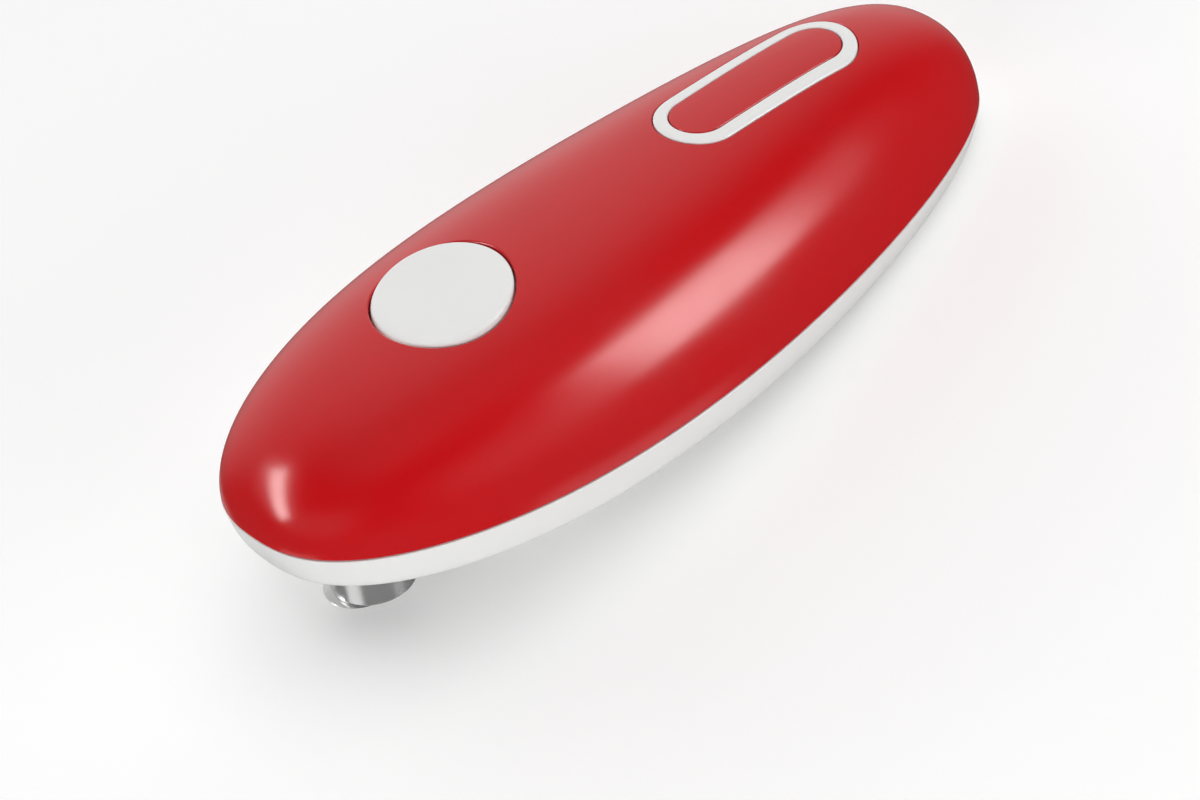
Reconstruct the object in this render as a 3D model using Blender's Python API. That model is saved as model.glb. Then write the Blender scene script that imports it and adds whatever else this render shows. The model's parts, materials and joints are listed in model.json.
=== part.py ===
"""Cordless can opener: red upper shell and white base with a bowed seam, push button, inlaid ring,
a cutter hub and drive wheel under the nose, and the gear train, motor and battery bay they need.

Design coordinates are in millimetres: x from the front tip to the rear tip, y across, z up.
place() moves them to the world frame in metres, centred over the lowest point.
"""

from math import acos, atan2, cos, pi, radians, sin, sqrt, tan

import bmesh
import bpy
import numpy as np
from mathutils import Vector
from mathutils.geometry import tessellate_polygon

MM = 0.001

# Body shape. t runs from -1 at the front tip to +1 at the rear tip.
LENGTH = 195.0
HALF_WIDTH = 36.49
WIDTH_TERMS = (1.0, -0.2002, -0.0334, 0.0581)
WIDTH_POWER = 0.798
SEAM_TERMS = (12.0, -1.263, 4.739)
CREST_HEIGHT = 34.11
CREST_TERMS = (1.0, 0.0247, 0.2663, 0.2102)
CREST_POWER = 0.967
DOME_ACROSS = 2.236
DOME_UP = 2.075
FLOOR_MID = 1.5
FLOOR_RISE = 6.65
SKIRT_INSET = 8.14
SKIRT_ACROSS = 5.16
SKIRT_DOWN = 1.03

# Shells
WALL = 2.2
SEAM_GAP = 0.3
LIP_FACE = 1.0
TONGUE_FACE = 1.25
REBATE_HEIGHT = 1.95
TONGUE_HEIGHT = 1.6
BODY_ROWS = 26
DOME_COLUMNS = 16
SKIRT_COLUMNS = 4
FIT_GAP = 0.3
SCREW_SIDES = 10
SHARP_ANGLE = radians(32.0)
WELD = 1e-7
STEP = 1e-4

# Lowest point of the opener, the head of the cutter screw
LOWEST = -8.6

# Button
BUTTON_AT = (55.0, 0.0)
BUTTON_RADIUS = 14.5
BUTTON_DROP = 0.75
BUTTON_SLOPE = 0.12
BUTTON_SKIRT = 5.8
BUTTON_WALL = 1.6
BUTTON_ROOF = 2.5
BUTTON_FLANGE = (1.3, 1.1)
STEM_LENGTH = 2.8
BUTTON_HOLE_RADIUS = 14.9
BUTTON_LIP_RADIUS = 15.5
BUTTON_TRAVEL = 1.8

# Inlaid ring
RING_AT = 140.7
RING_LENGTH = 50.5
RING_WIDTH = 19.0
RING_BAND = 3.0
RING_DEPTH = 1.0
RING_PROUD = 0.25

# Cutting head
HUB_AT = (22.6, -4.4)
DRIVE_AT = (39.6, -4.4)
DRUM_RADIUS = 9.0
DRUM_BOTTOM = -6.0
CUTTER_RADIUS = 7.5
CUTTER_OFFSET = 3.0
CUTTER_REST_ANGLE = 150.0
DRIVE_WHEEL_RADIUS = 5.5
DRIVE_WHEEL_TEETH = 24
DRIVE_TOOTH_DEPTH = 0.55
RIM_REST = -3.5
MAGNET_AT = (66.0, -4.4)
MAGNET_RADIUS = 9.6
MAGNET_FACE = -7.0

# Gears
PRESSURE = radians(20.0)
TRAIN_MODULE = 0.65
PINION_TEETH = 10
WHEEL_TEETH = 36
TRAIN_SHIFT = 0.4
SWING_MODULE = 1.0
SWING_TEETH = 20
HUB_TEETH = 14
BACKLASH = 0.16
TIP_RELIEF = 0.06
TRAIN_BEARINGS = (40.0, -25.0, 38.0, -35.0)
WHEEL_THICKNESS = 2.5
PINION_LENGTH = 4.0
GEAR_BORE = 1.5
AXLE_RADIUS = 1.25

# Gearbox plates, motor and board
LOWER_PLATE = (8.0, 10.0)
UPPER_PLATE = (26.0, 28.0)
POSTS_AT = ((29.0, 12.0), (50.5, -16.5), (61.0, 19.5), (77.0, -14.5))
BRACKET_POSTS_AT = ((96.0, 9.4), (96.0, -9.8), (88.6, -9.8))
BRACKET = (14.6, 16.0)
MOTOR_RADIUS = 10.0
MOTOR_FLAT = 7.6
MOTOR_BOTTOM = 16.3
MOTOR_TOP = 36.8
BOARD = (30.8, 32.2)

# Battery bay
CELL_RADIUS = 7.25
CELL_LENGTH = 50.5
CELL_Y = 7.4
CELL_ROWS_Z = (15.0, 29.8)
BAY = (101.6, 159.4)
BAY_HALF_WIDTH = 16.2
BAY_WALL = 1.0
DOOR = (101.3, 159.7)
DOOR_HALF_WIDTH = 15.6
DOOR_CORNER = 4.0

# Housing screws, and the ribs that hold the upper cells down
SCREWS_AT = ((42.0, 23.0), (42.0, -23.0), (169.5, 0.0))
BOSS_TOP = 13.0
BOSS_RADIUS = 4.2
POST_RADIUS = 3.6
SCREW_PILOT = 1.65
RIBS_AT = (114.0, 147.0)
RIB_THICKNESS = 1.6
RIB_HALF_WIDTH = 21.0
RIB_FROM = 37.4
ABOVE_ALL = 60.0

# Switch
SWITCH_TOP = 35.6
PLUNGER_BORE = 2.4
SPRING_RADIUS = 9.2


# ---------------------------------------------------------------- materials and mesh helpers


def material(name, colour, metallic, roughness):
    made = bpy.data.materials.new(name)
    made.use_nodes = True
    shader = made.node_tree.nodes["Principled BSDF"]
    shader.inputs["Base Color"].default_value = (*colour, 1.0)
    shader.inputs["Metallic"].default_value = metallic
    shader.inputs["Roughness"].default_value = roughness
    return made


def place(point):
    """A design point in the world frame, in metres."""
    x, y, z = point
    return Vector(((x - LENGTH / 2) * MM, y * MM, (z - LOWEST) * MM))


def finish(name, bm, look, origin=None, smooth=True):
    """Makes a bmesh in world metres into an object whose origin is the given design point."""
    at = place(origin) if origin else Vector((0.0, 0.0, 0.0))
    bmesh.ops.translate(bm, verts=bm.verts, vec=-at)
    bmesh.ops.recalc_face_normals(bm, faces=bm.faces)
    for face in bm.faces:
        face.smooth = smooth
    mesh = bpy.data.meshes.new(name)
    bm.to_mesh(mesh)
    bm.free()
    mesh.set_sharp_from_angle(angle=SHARP_ANGLE)
    obj = bpy.data.objects.new(name, mesh)
    obj.location = at
    bpy.context.scene.collection.objects.link(obj)
    if look:
        mesh.materials.append(look)
    else:
        obj.hide_render = True
        obj.display_type = "WIRE"
    return obj


def bridge(bm, low, high):
    """Joins two rings: by quads where their counts agree, else by filling the flat space between."""
    if len(low) == len(high):
        for i in range(len(low)):
            j = (i + 1) % len(low)
            bm.faces.new((low[i], low[j], high[j], high[i]))
        return
    both = low + high
    loops = [[vert.co / MM for vert in ring] for ring in (low, high)]
    for corners in tessellate_polygon(loops):
        bm.faces.new([both[i] for i in corners])


def add_skin(bm, loops, ring=False):
    """Adds a closed body through rings of design points, capped at both ends unless it is a ring."""
    rings = [[bm.verts.new(place(point)) for point in loop] for loop in loops]
    for low, high in zip(rings, rings[1:]):
        bridge(bm, low, high)
    if ring:
        bridge(bm, rings[-1], rings[0])
    else:
        bm.faces.new(rings[0])
        bm.faces.new(rings[-1])


def skin(name, loops, look, origin=None, ring=False):
    bm = bmesh.new()
    add_skin(bm, loops, ring)
    return finish(name, bm, look, origin)


def skins(name, bodies, look):
    """One object of several separate bodies, each a list of rings."""
    bm = bmesh.new()
    for loops in bodies:
        add_skin(bm, loops)
    return finish(name, bm, look)


def boolean(target, other, operation):
    modifier = target.modifiers.new(other.name, "BOOLEAN")
    modifier.object = other
    modifier.operation = operation
    modifier.solver = "EXACT"


# ---------------------------------------------------------------- outlines


def circle(centre, radius, z, count=20):
    angles = [2 * pi * i / count for i in range(count)]
    return [(centre[0] + radius * cos(a), centre[1] + radius * sin(a), z) for a in angles]


def turned(centre, profile, count=20):
    """Rings about a vertical axis, for a profile of (radius, z)."""
    return [circle(centre, radius, z, count) for radius, z in profile]


def turned_along_x(start, profile, count=16):
    """Rings about an axis along x, for a profile of (radius, x)."""
    _, y, z = start
    angles = [2 * pi * i / count for i in range(count)]
    return [[(x, y + radius * cos(a), z + radius * sin(a)) for a in angles] for radius, x in profile]


def at_height(outline, z):
    return [(x, y, z) for x, y in outline]


def rounded_box(x0, x1, half_y, corner, per_corner=4, centre_y=0.0):
    """Outline of a rectangle with rounded corners."""
    points = []
    corners = (
        (x1 - corner, half_y - corner, 0.0),
        (x0 + corner, half_y - corner, 90.0),
        (x0 + corner, corner - half_y, 180.0),
        (x1 - corner, corner - half_y, 270.0),
    )
    for x, y, start in corners:
        for i in range(per_corner + 1):
            angle = radians(start + 90.0 * i / per_corner)
            points.append((x + corner * cos(angle), centre_y + y + corner * sin(angle)))
    return points


def hull(circles, count=20):
    """Convex outline around circles of (centre, radius)."""
    points = sorted(
        (centre[0] + radius * cos(2 * pi * i / count), centre[1] + radius * sin(2 * pi * i / count))
        for centre, radius in circles
        for i in range(count)
    )

    def half(ordered):
        chain = []
        for p in ordered:
            while len(chain) > 1 and turn(chain[-2], chain[-1], p) <= 0:
                chain.pop()
            chain.append(p)
        return chain[:-1]

    return half(points) + half(points[::-1])


def turn(a, b, c):
    return (b[0] - a[0]) * (c[1] - a[1]) - (b[1] - a[1]) * (c[0] - a[0])


def gear_outline(centre, teeth, module, shift, phase):
    """Involute spur gear outline, a tooth centred on the phase angle."""
    pitch = module * teeth / 2
    base = pitch * cos(PRESSURE)
    root = pitch - module * (1.25 - shift)
    tip = pitch + module * (1.0 + shift) - TIP_RELIEF
    half = (pi / 2 + 2 * shift * tan(PRESSURE)) / teeth - BACKLASH / (2 * pitch)

    def involute(radius):
        angle = acos(min(1.0, base / radius))
        return tan(angle) - angle

    def half_tooth(radius):
        return half + tan(PRESSURE) - PRESSURE - involute(radius)

    radii = (root, (max(root, base) + tip) / 2, tip) if teeth < WHEEL_TEETH else (root, tip)
    flank = [(radius, half_tooth(radius)) for radius in radii]
    points = []
    for i in range(teeth):
        axis = phase + 2 * pi * i / teeth
        for radius, angle in flank:
            points.append((radius, axis - angle))
        for radius, angle in reversed(flank):
            points.append((radius, axis + angle))
    return [(centre[0] + r * cos(a), centre[1] + r * sin(a)) for r, a in points]


def mating_phase(centre, teeth, phase, other_centre, other_teeth):
    """Phase of the second gear that puts its gap on the first gear's tooth."""
    line = atan2(other_centre[1] - centre[1], other_centre[0] - centre[0])
    past = (line - phase) * teeth / (2 * pi)
    return line + pi - 2 * pi / other_teeth * (0.5 - past)


# ---------------------------------------------------------------- body surfaces


def terms(values, t):
    return sum(value * t**power for power, value in enumerate(values))


def station(theta):
    """(x, half width, seam height, crest above the seam, floor height) at an angle along the body."""
    t = -cos(theta)
    s = max(sin(theta), 0.0)
    x = LENGTH / 2 * (1 + t)
    half = HALF_WIDTH * s**WIDTH_POWER * terms(WIDTH_TERMS, t)
    crest = CREST_HEIGHT * s**CREST_POWER * terms(CREST_TERMS, t)
    return x, half, terms(SEAM_TERMS, t), crest, FLOOR_MID + FLOOR_RISE * t * t


def plan_normal(theta):
    """Outward normal of the seam outline, seen from above, on the +y side."""
    if theta < STEP:
        return -1.0, 0.0
    if theta > pi - STEP:
        return 1.0, 0.0
    ahead, behind = station(theta + STEP), station(theta - STEP)
    along, out = ahead[0] - behind[0], ahead[1] - behind[1]
    size = sqrt(along * along + out * out)
    return -out / size, along / size


def dome_point(theta, psi):
    """Upper surface: psi runs from 0 at the +y seam over the crest to pi at the -y seam."""
    x, half, seam, crest, _ = station(theta)
    across = abs(cos(psi)) ** (2 / DOME_ACROSS) * (1 if cos(psi) >= 0 else -1)
    return x, half * across, seam + crest * max(sin(psi), 0.0) ** (2 / DOME_UP)


def dome_height(x, y):
    """Height of the upper surface over a point of the plan."""
    theta = acos(1 - 2 * x / LENGTH)
    _, half, seam, crest, _ = station(theta)
    return seam + crest * (1 - abs(y / half) ** DOME_ACROSS) ** (1 / DOME_UP)


def skirt_point(theta, s):
    """Lower surface: s runs from 0 at the seam to pi/2 at the floor, on the +y side."""
    x, half, seam, _, floor = station(theta)
    nx, ny = plan_normal(theta)
    inset = SKIRT_INSET * (1 - cos(s) ** (2 / SKIRT_ACROSS))
    down = (seam - floor) * sin(s) ** (2 / SKIRT_DOWN)
    return x - inset * nx, half - inset * ny, seam - down


def surface_normal(point, theta, s, fallback):
    """Outward unit normal of a surface at its parameters."""
    low_t, high_t = max(theta - STEP, 0.0), min(theta + STEP, pi)
    low_s, high_s = max(s - STEP, 0.0), s + STEP
    along = np.subtract(point(high_t, s), point(low_t, s))
    across = np.subtract(point(theta, high_s), point(theta, low_s))
    normal = np.cross(across, along)
    size = np.linalg.norm(normal)
    return normal / size if size > 1e-12 else np.array(fallback)


def thetas(rows):
    return [pi * (i / rows) for i in range(rows + 1)]


def dome_grid(inset, rows=BODY_ROWS, columns=DOME_COLUMNS):
    """Rows of points of the upper surface moved inwards."""
    grid = []
    for theta in thetas(rows):
        line = []
        for j in range(columns + 1):
            psi = pi * j / columns
            tip = (-1.0 if theta < pi / 2 else 1.0, 0.0, 0.0)
            if theta in (0.0, pi):
                normal = np.array(tip)
            elif j in (0, columns):
                nx, ny = plan_normal(theta)
                normal = np.array((nx, ny if j == 0 else -ny, 0.0))
            else:
                normal = surface_normal(dome_point, theta, psi, tip)
                normal = normal if normal[2] > 0 else -normal
            line.append(np.array(dome_point(theta, psi)) - inset * normal)
        grid.append(line)
    return grid


def skirt_grid(inset, rows=BODY_ROWS, columns=SKIRT_COLUMNS):
    """Rows of points of the lower surface moved inwards, from the +y seam across the floor to -y."""
    grid = []
    for theta in thetas(rows):
        side = []
        for j in range(columns + 1):
            s = pi / 2 * j / columns
            nx, ny = plan_normal(theta)
            if j == 0:
                normal = np.array((nx, ny, 0.0))
            elif j == columns:
                normal = np.array((0.0, 0.0, -1.0))
            else:
                normal = skirt_normal(theta, s, nx, ny)
            side.append(np.array(skirt_point(theta, s)) - inset * normal)
        mirrored = [point * (1.0, -1.0, 1.0) for point in reversed(side)]
        grid.append(side + mirrored)
    return grid


def skirt_normal(theta, s, nx, ny):
    """Normal of the skirt from its section, which lies along the plan normal."""
    low, high = skirt_point(theta, s - STEP), skirt_point(theta, min(s + STEP, pi / 2))
    inward = (low[0] - high[0]) * nx + (low[1] - high[1]) * ny
    down = low[2] - high[2]
    size = sqrt(inward * inward + down * down)
    return np.array((nx * down / size, ny * down / size, -inward / size))


def add_grid(bm, grid):
    rows = [[bm.verts.new(place(point)) for point in line] for line in grid]
    for low, high in zip(rows, rows[1:]):
        for j in range(len(low) - 1):
            bm.faces.new((low[j], low[j + 1], high[j + 1], high[j]))


def seam_loop(inset, lift, rows=BODY_ROWS):
    """The seam outline, moved inwards and up, once around from the front tip."""
    side = []
    for theta in thetas(rows):
        x, half, seam, _, _ = station(theta)
        nx, ny = plan_normal(theta)
        side.append((x - inset * nx, half - inset * ny, seam + lift))
    return side + [(x, -y, z) for x, y, z in reversed(side[1:-1])]


def add_rim(bm, loops):
    rings = [[bm.verts.new(place(point)) for point in loop] for loop in loops]
    for low, high in zip(rings, rings[1:]):
        bridge(bm, low, high)


def lifted_edge(grid, lift, direction):
    """The grid with its points kept to one side of the seam raised by lift."""
    raised = []
    for theta, line in zip(thetas(len(grid) - 1), grid):
        limit = station(theta)[2] + lift
        pick = max if direction > 0 else min
        raised.append([np.array((p[0], p[1], pick(p[2], limit))) for p in line])
    return raised


def welded(bm):
    bmesh.ops.remove_doubles(bm, verts=bm.verts, dist=WELD)
    bmesh.ops.dissolve_degenerate(bm, edges=bm.edges, dist=WELD)


def dome_shell(name, look):
    bm = bmesh.new()
    lift = SEAM_GAP / 2
    add_grid(bm, lifted_edge(dome_grid(0.0), lift, 1))
    add_grid(bm, lifted_edge(dome_grid(WALL), REBATE_HEIGHT, 1))
    corners = ((0.0, lift), (LIP_FACE, lift), (LIP_FACE, REBATE_HEIGHT), (WALL, REBATE_HEIGHT))
    add_rim(bm, [seam_loop(*corner) for corner in corners])
    welded(bm)
    return finish(name, bm, look)


def skirt_shell(name, look, origin=None):
    bm = bmesh.new()
    drop = -SEAM_GAP / 2
    outer = lifted_edge(skirt_grid(0.0), drop, -1)
    inner = skirt_grid(WALL)
    for theta, line in zip(thetas(BODY_ROWS), inner):
        rim = station(theta)[2] + TONGUE_HEIGHT
        line[0] = np.array((line[0][0], line[0][1], rim))
        line[-1] = np.array((line[-1][0], line[-1][1], rim))
    add_grid(bm, outer)
    add_grid(bm, inner)
    corners = ((0.0, drop), (TONGUE_FACE, drop), (TONGUE_FACE, TONGUE_HEIGHT), (WALL, TONGUE_HEIGHT))
    add_rim(bm, [seam_loop(*corner) for corner in corners])
    welded(bm)
    return finish(name, bm, look, origin)


def inner_core(name):
    """The space inside the body, to the middle of the walls. It trims bosses and ribs to the shells."""
    bm = bmesh.new()
    add_grid(bm, dome_grid(WALL / 2))
    add_grid(bm, skirt_grid(WALL / 2))
    welded(bm)
    return finish(name, bm, None)


# ---------------------------------------------------------------- small parts


def cross_outline(centre, arm, width):
    """Cross recess of a screw head."""
    cross = [(arm, -width), (arm, width), (width, width), (width, arm), (-width, arm), (-width, width)]
    cross += [(-x, -y) for x, y in cross]
    return [(centre[0] + x, centre[1] + y) for x, y in cross]


def screw(name, centre, head_z, tip_z, head_radius, shank_radius, look, head_height=1.6, origin=None):
    """Cross-head screw along z, its head at head_z and its tip towards tip_z."""
    down = 1 if tip_z > head_z else -1
    under = head_z + down * head_height
    cross = cross_outline(centre, 0.62 * head_radius, 0.16 * head_radius)
    profile = (
        (0.86 * head_radius, head_z),
        (head_radius, head_z + down * 0.3 * head_height),
        (head_radius, under),
        (shank_radius, under),
        (shank_radius, tip_z - down * shank_radius),
        (0.35 * shank_radius, tip_z),
    )
    loops = [at_height(cross, head_z + down * 0.6 * head_height), at_height(cross, head_z)]
    return skin(name, loops + turned(centre, profile, SCREW_SIDES), look, origin)


def tube(name, path, radius, look, sides=6, origin=None):
    """A round section carried along a path of design points."""
    points = [np.array(point, float) for point in path]
    loops = []
    side = np.array((0.0, 0.0, 1.0))
    for i, point in enumerate(points):
        along = points[min(i + 1, len(points) - 1)] - points[max(i - 1, 0)]
        along /= np.linalg.norm(along)
        side = side - along * side.dot(along)
        if np.linalg.norm(side) < 1e-6:
            side = np.cross(along, (1.0, 0.0, 0.0))
        side /= np.linalg.norm(side)
        other = np.cross(along, side)
        angles = [2 * pi * k / sides for k in range(sides)]
        loops.append([tuple(point + radius * (cos(a) * side + sin(a) * other)) for a in angles])
    return skin(name, loops, look, origin)


def smooth_path(corners, count):
    """Catmull-Rom curve through corners."""
    p = [np.array(c, float) for c in corners]
    p = [2 * p[0] - p[1]] + p + [2 * p[-1] - p[-2]]
    path = []
    for i in range(1, len(p) - 2):
        for k in range(count):
            u = k / count
            a, b, c, d = p[i - 1], p[i], p[i + 1], p[i + 2]
            square, cube = 2 * a - 5 * b + 4 * c - d, 3 * b - a - 3 * c + d
            path.append(0.5 * (2 * b + (c - a) * u + square * u**2 + cube * u**3))
    return path + [p[-2]]


def coil(centre, axis, start_radius, end_radius, length, turns, per_turn):
    """Helix points, the first and last half turn flat, along x or z."""
    steps = turns * per_turn
    points = []
    for i in range(steps + 1):
        angle = 2 * pi * i / per_turn
        share = min(max((i - per_turn / 2) / (steps - per_turn), 0.0), 1.0)
        radius = start_radius + (end_radius - start_radius) * i / steps
        u, v, w = radius * cos(angle), radius * sin(angle), length * share
        offset = (w, u, v) if axis == "x" else (u, v, w)
        points.append(tuple(np.add(centre, offset)))
    return points


def box_loops(x0, x1, half_y, z0, z1, corner=0.5, centre_y=0.0):
    outline = rounded_box(x0, x1, half_y, corner, 1, centre_y)
    return [at_height(outline, z0), at_height(outline, z1)]


# ---------------------------------------------------------------- shells


def ring_outline(grow, count=10):
    """Racetrack outline grown by an amount from the ring's outer edge."""
    radius = RING_WIDTH / 2 + grow
    straight = (RING_LENGTH - RING_WIDTH) / 2
    points = []
    for side in (1, -1):
        for i in range(count + 1):
            angle = pi / 2 - pi * i / count if side > 0 else -pi / 2 - pi * i / count
            points.append((RING_AT + side * straight + radius * cos(angle), radius * sin(angle)))
        for i in (1, 2, 3):
            share = i / 4
            points.append((RING_AT + side * straight * (1 - 2 * share), -side * radius))
    return points


def on_dome(outline, lift):
    return [(x, y, dome_height(x, y) + lift) for x, y in outline]


def make_upper_shell(red, core):
    shell = dome_shell("upper_shell", red)
    posts = [turned(at, ((POST_RADIUS, BOSS_TOP + 0.4), (POST_RADIUS, ABOVE_ALL)), 14) for at in SCREWS_AT]
    ribs = [box_loops(x, x + RIB_THICKNESS, RIB_HALF_WIDTH, RIB_FROM, ABOVE_ALL) for x in RIBS_AT]
    inside = skins("upper_bosses", posts + ribs, None)
    boolean(inside, core, "INTERSECT")
    boolean(shell, inside, "UNION")
    pilots = [turned(at, ((SCREW_PILOT, BOSS_TOP - 2.0), (SCREW_PILOT, 26.0)), 12) for at in SCREWS_AT]
    boolean(shell, skins("upper_pilots", pilots, None), "DIFFERENCE")
    top = dome_height(*BUTTON_AT)
    hole = turned(
        BUTTON_AT,
        (
            (BUTTON_HOLE_RADIUS, top - 12.0),
            (BUTTON_HOLE_RADIUS, top - 2.8),
            (BUTTON_LIP_RADIUS, top + 0.3),
            (BUTTON_LIP_RADIUS + 1.2, top + 6.0),
        ),
        24,
    )
    boolean(shell, skin("button_hole", hole, None), "DIFFERENCE")
    boolean(shell, ring_body("ring_groove", None, FIT_GAP, RING_DEPTH + FIT_GAP, 3.0), "DIFFERENCE")
    return shell


def ring_body(name, look, grow, depth, proud):
    outer, inner = ring_outline(grow), ring_outline(-RING_BAND - grow)
    loops = [on_dome(inner, -depth), on_dome(outer, -depth), on_dome(outer, proud), on_dome(inner, proud)]
    return skin(name, loops, look, ring=True)


def make_base_shell(white, core):
    shell = skirt_shell("base_shell", white)
    bosses = [turned(HUB_AT, ((12.2, 0.0), (12.2, 12.3)), 24)]
    bosses += [turned(at, ((BOSS_RADIUS, 0.0), (BOSS_RADIUS, BOSS_TOP)), 14) for at in SCREWS_AT]
    bosses += [turned(at, ((3.4, 0.0), (3.4, LOWER_PLATE[0] - FIT_GAP)), 12) for at in POSTS_AT]
    inside = skins("base_bosses", bosses, None)
    boolean(inside, core, "INTERSECT")
    boolean(shell, inside, "UNION")
    outside = [
        turned(DRIVE_AT, ((6.6, RIM_REST), (7.0, RIM_REST + 0.4), (7.0, 5.0)), 28),
        turned(MAGNET_AT, ((12.0, -4.8), (12.5, -4.3), (12.5, 3.4)), 24),
    ]
    boolean(shell, skins("base_pads", outside, None), "UNION")
    holes = [
        turned(HUB_AT, ((9.35, -2.0), (9.35, 9.3), (11.25, 9.3), (11.25, 16.0)), 24),
        turned(DRIVE_AT, ((4.3, -8.0), (4.3, 8.0)), 20),
        turned(MAGNET_AT, ((11.2, -8.0), (11.2, -1.6)), 24),
    ]
    for at in SCREWS_AT:
        head = screw_seat(at)
        holes.append(turned(at, ((3.1, -2.0), (3.1, head), (1.7, head), (1.7, 16.0)), 14))
    holes += [turned(at, ((1.5, 5.4), (1.5, 9.0)), 12) for at in POSTS_AT]
    boolean(shell, skins("base_holes", holes, None), "DIFFERENCE")
    opening = rounded_box(DOOR[0] - FIT_GAP, DOOR[1] + FIT_GAP, DOOR_HALF_WIDTH + FIT_GAP, DOOR_CORNER)
    cutter = skin("door_opening", [at_height(opening, -3.0), at_height(opening, 7.6)], None)
    boolean(shell, cutter, "DIFFERENCE")
    return shell


def screw_seat(at):
    """Height of the step that a housing screw's head bears on."""
    return FLOOR_MID + FLOOR_RISE * (2 * at[0] / LENGTH - 1) ** 2 + 4.0


def door_hinge():
    x = DOOR[1]
    return x, 0.0, FLOOR_MID + FLOOR_RISE * (2 * x / LENGTH - 1) ** 2


def make_battery_door(white):
    door = skirt_shell("battery_door", white, door_hinge())
    outline = rounded_box(DOOR[0], DOOR[1], DOOR_HALF_WIDTH, DOOR_CORNER)
    blank = skin("door_blank", [at_height(outline, -3.0), at_height(outline, 7.4)], None)
    boolean(door, blank, "INTERSECT")
    grips = [
        box_loops(DOOR[0] + 5.0 + 2.2 * i, DOOR[0] + 6.0 + 2.2 * i, 6.0, -2.0, FLOOR_MID + 0.55, 0.3)
        for i in range(4)
    ]
    boolean(door, skins("door_grips", grips, None), "DIFFERENCE")
    return door


def make_button(white):
    """Flat cap sloping with the body, with a rounded edge, a stop flange and a stem over the switch."""
    top = button_face()
    roof = top - BUTTON_ROOF
    skirt = top - BUTTON_SKIRT
    out, thick = BUTTON_FLANGE
    profile = (
        (1.6, roof - STEM_LENGTH),
        (2.6, roof - STEM_LENGTH + 0.1),
        (2.6, roof),
        (BUTTON_RADIUS - BUTTON_WALL, roof),
        (BUTTON_RADIUS - BUTTON_WALL, skirt),
        (BUTTON_RADIUS + out, skirt),
        (BUTTON_RADIUS + out, skirt + thick),
        (BUTTON_RADIUS, skirt + thick),
        (BUTTON_RADIUS, top - 1.0),
        (BUTTON_RADIUS - 0.3, top - 0.3),
        (BUTTON_RADIUS - 1.0, top),
        (4.0, top),
    )
    loops = turned(BUTTON_AT, profile, 24)
    loops = [[(x, y, z + BUTTON_SLOPE * (x - BUTTON_AT[0])) for x, y, z in loop] for loop in loops]
    return skin("button_cap", loops, white, (*BUTTON_AT, top))


def button_face():
    """Height of the middle of the cap's flat face, below the crest of the shell round it."""
    return dome_height(*BUTTON_AT) - BUTTON_DROP


# ---------------------------------------------------------------- cutting head


def make_cutting_head(chrome, steel, bronze):
    shaft_end = 18.0
    angle = radians(CUTTER_REST_ANGLE)
    eccentric = (HUB_AT[0] + CUTTER_OFFSET * cos(angle), HUB_AT[1] + CUTTER_OFFSET * sin(angle))
    drum = turned(
        HUB_AT,
        (
            (DRUM_RADIUS - 0.5, DRUM_BOTTOM),
            (DRUM_RADIUS, DRUM_BOTTOM + 0.5),
            (DRUM_RADIUS, 12.6),
            (10.6, 12.6),
            (10.6, 13.4),
            (3.5, 13.4),
            (3.5, shaft_end - 0.4),
            (3.1, shaft_end),
        ),
        24,
    )
    threaded = turned(eccentric, ((1.75, 4.0), (1.75, DRUM_BOTTOM)), 14)
    skin("cutter_hub", threaded + drum, chrome, (*HUB_AT, DRUM_BOTTOM))
    bush = turned(HUB_AT, ((9.25, 9.6), (11.0, 9.6), (11.0, 12.2), (9.25, 12.2)), 24)
    skin("hub_bush", bush, bronze, ring=True)
    wheel = turned(
        eccentric,
        (
            (2.1, -6.3),
            (CUTTER_RADIUS - 1.8, -6.3),
            (CUTTER_RADIUS, -6.85),
            (CUTTER_RADIUS, -6.95),
            (CUTTER_RADIUS - 1.8, -7.5),
            (2.1, -7.5),
        ),
        24,
    )
    skin("cutter_wheel", wheel, steel, (*eccentric, -6.9), ring=True)
    screw_loops = screw_with_shoulder(eccentric)
    skin("cutter_screw", screw_loops, steel, (*eccentric, LOWEST))

    blind = turned(DRIVE_AT, ((1.4, -2.0), (1.4, -7.0)), 14)
    shaft = turned(
        DRIVE_AT,
        ((2.45, -7.0), (2.45, 16.6), (4.4, 16.6), (4.4, 17.1), (2.45, 17.1), (2.45, 27.4), (2.1, 27.8)),
        16,
    )
    skin("drive_shaft", blind + shaft, steel, (*DRIVE_AT, 0.0))
    bush = turned(
        DRIVE_AT, ((2.75, -3.2), (4.0, -3.2), (4.0, 6.9), (4.5, 6.9), (4.5, 7.7), (2.75, 7.7)), 16
    )
    skin("drive_bush", bush, bronze, ring=True)
    make_drive_wheel(steel)
    screw("drive_wheel_screw", DRIVE_AT, -8.2, -2.6, 2.9, 1.15, steel, 0.95, (*DRIVE_AT, -8.2))

    bore = MAGNET_RADIUS + FIT_GAP
    cup = turned(MAGNET_AT, ((bore, -3.2), (bore, -6.2), (10.9, -6.2), (10.9, -2.0)), 24)
    skin("magnet_cup", cup, steel)
    magnet = turned(
        MAGNET_AT,
        ((MAGNET_RADIUS - 0.4, MAGNET_FACE), (MAGNET_RADIUS, MAGNET_FACE + 0.4), (MAGNET_RADIUS, -3.5)),
        24,
    )
    skin("magnet", magnet, chrome)


def screw_with_shoulder(centre):
    """Shoulder screw that the cutter wheel turns on."""
    head = 2.7
    cross = cross_outline(centre, 1.7, 0.45)
    profile = (
        (head - 0.35, LOWEST),
        (head, LOWEST + 0.3),
        (head, -7.8),
        (1.85, -7.8),
        (1.85, -6.15),
        (1.45, -6.15),
        (1.45, 2.6),
        (0.6, 3.4),
    )
    return [at_height(cross, -8.0), at_height(cross, LOWEST)] + turned(centre, profile, 14)


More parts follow.
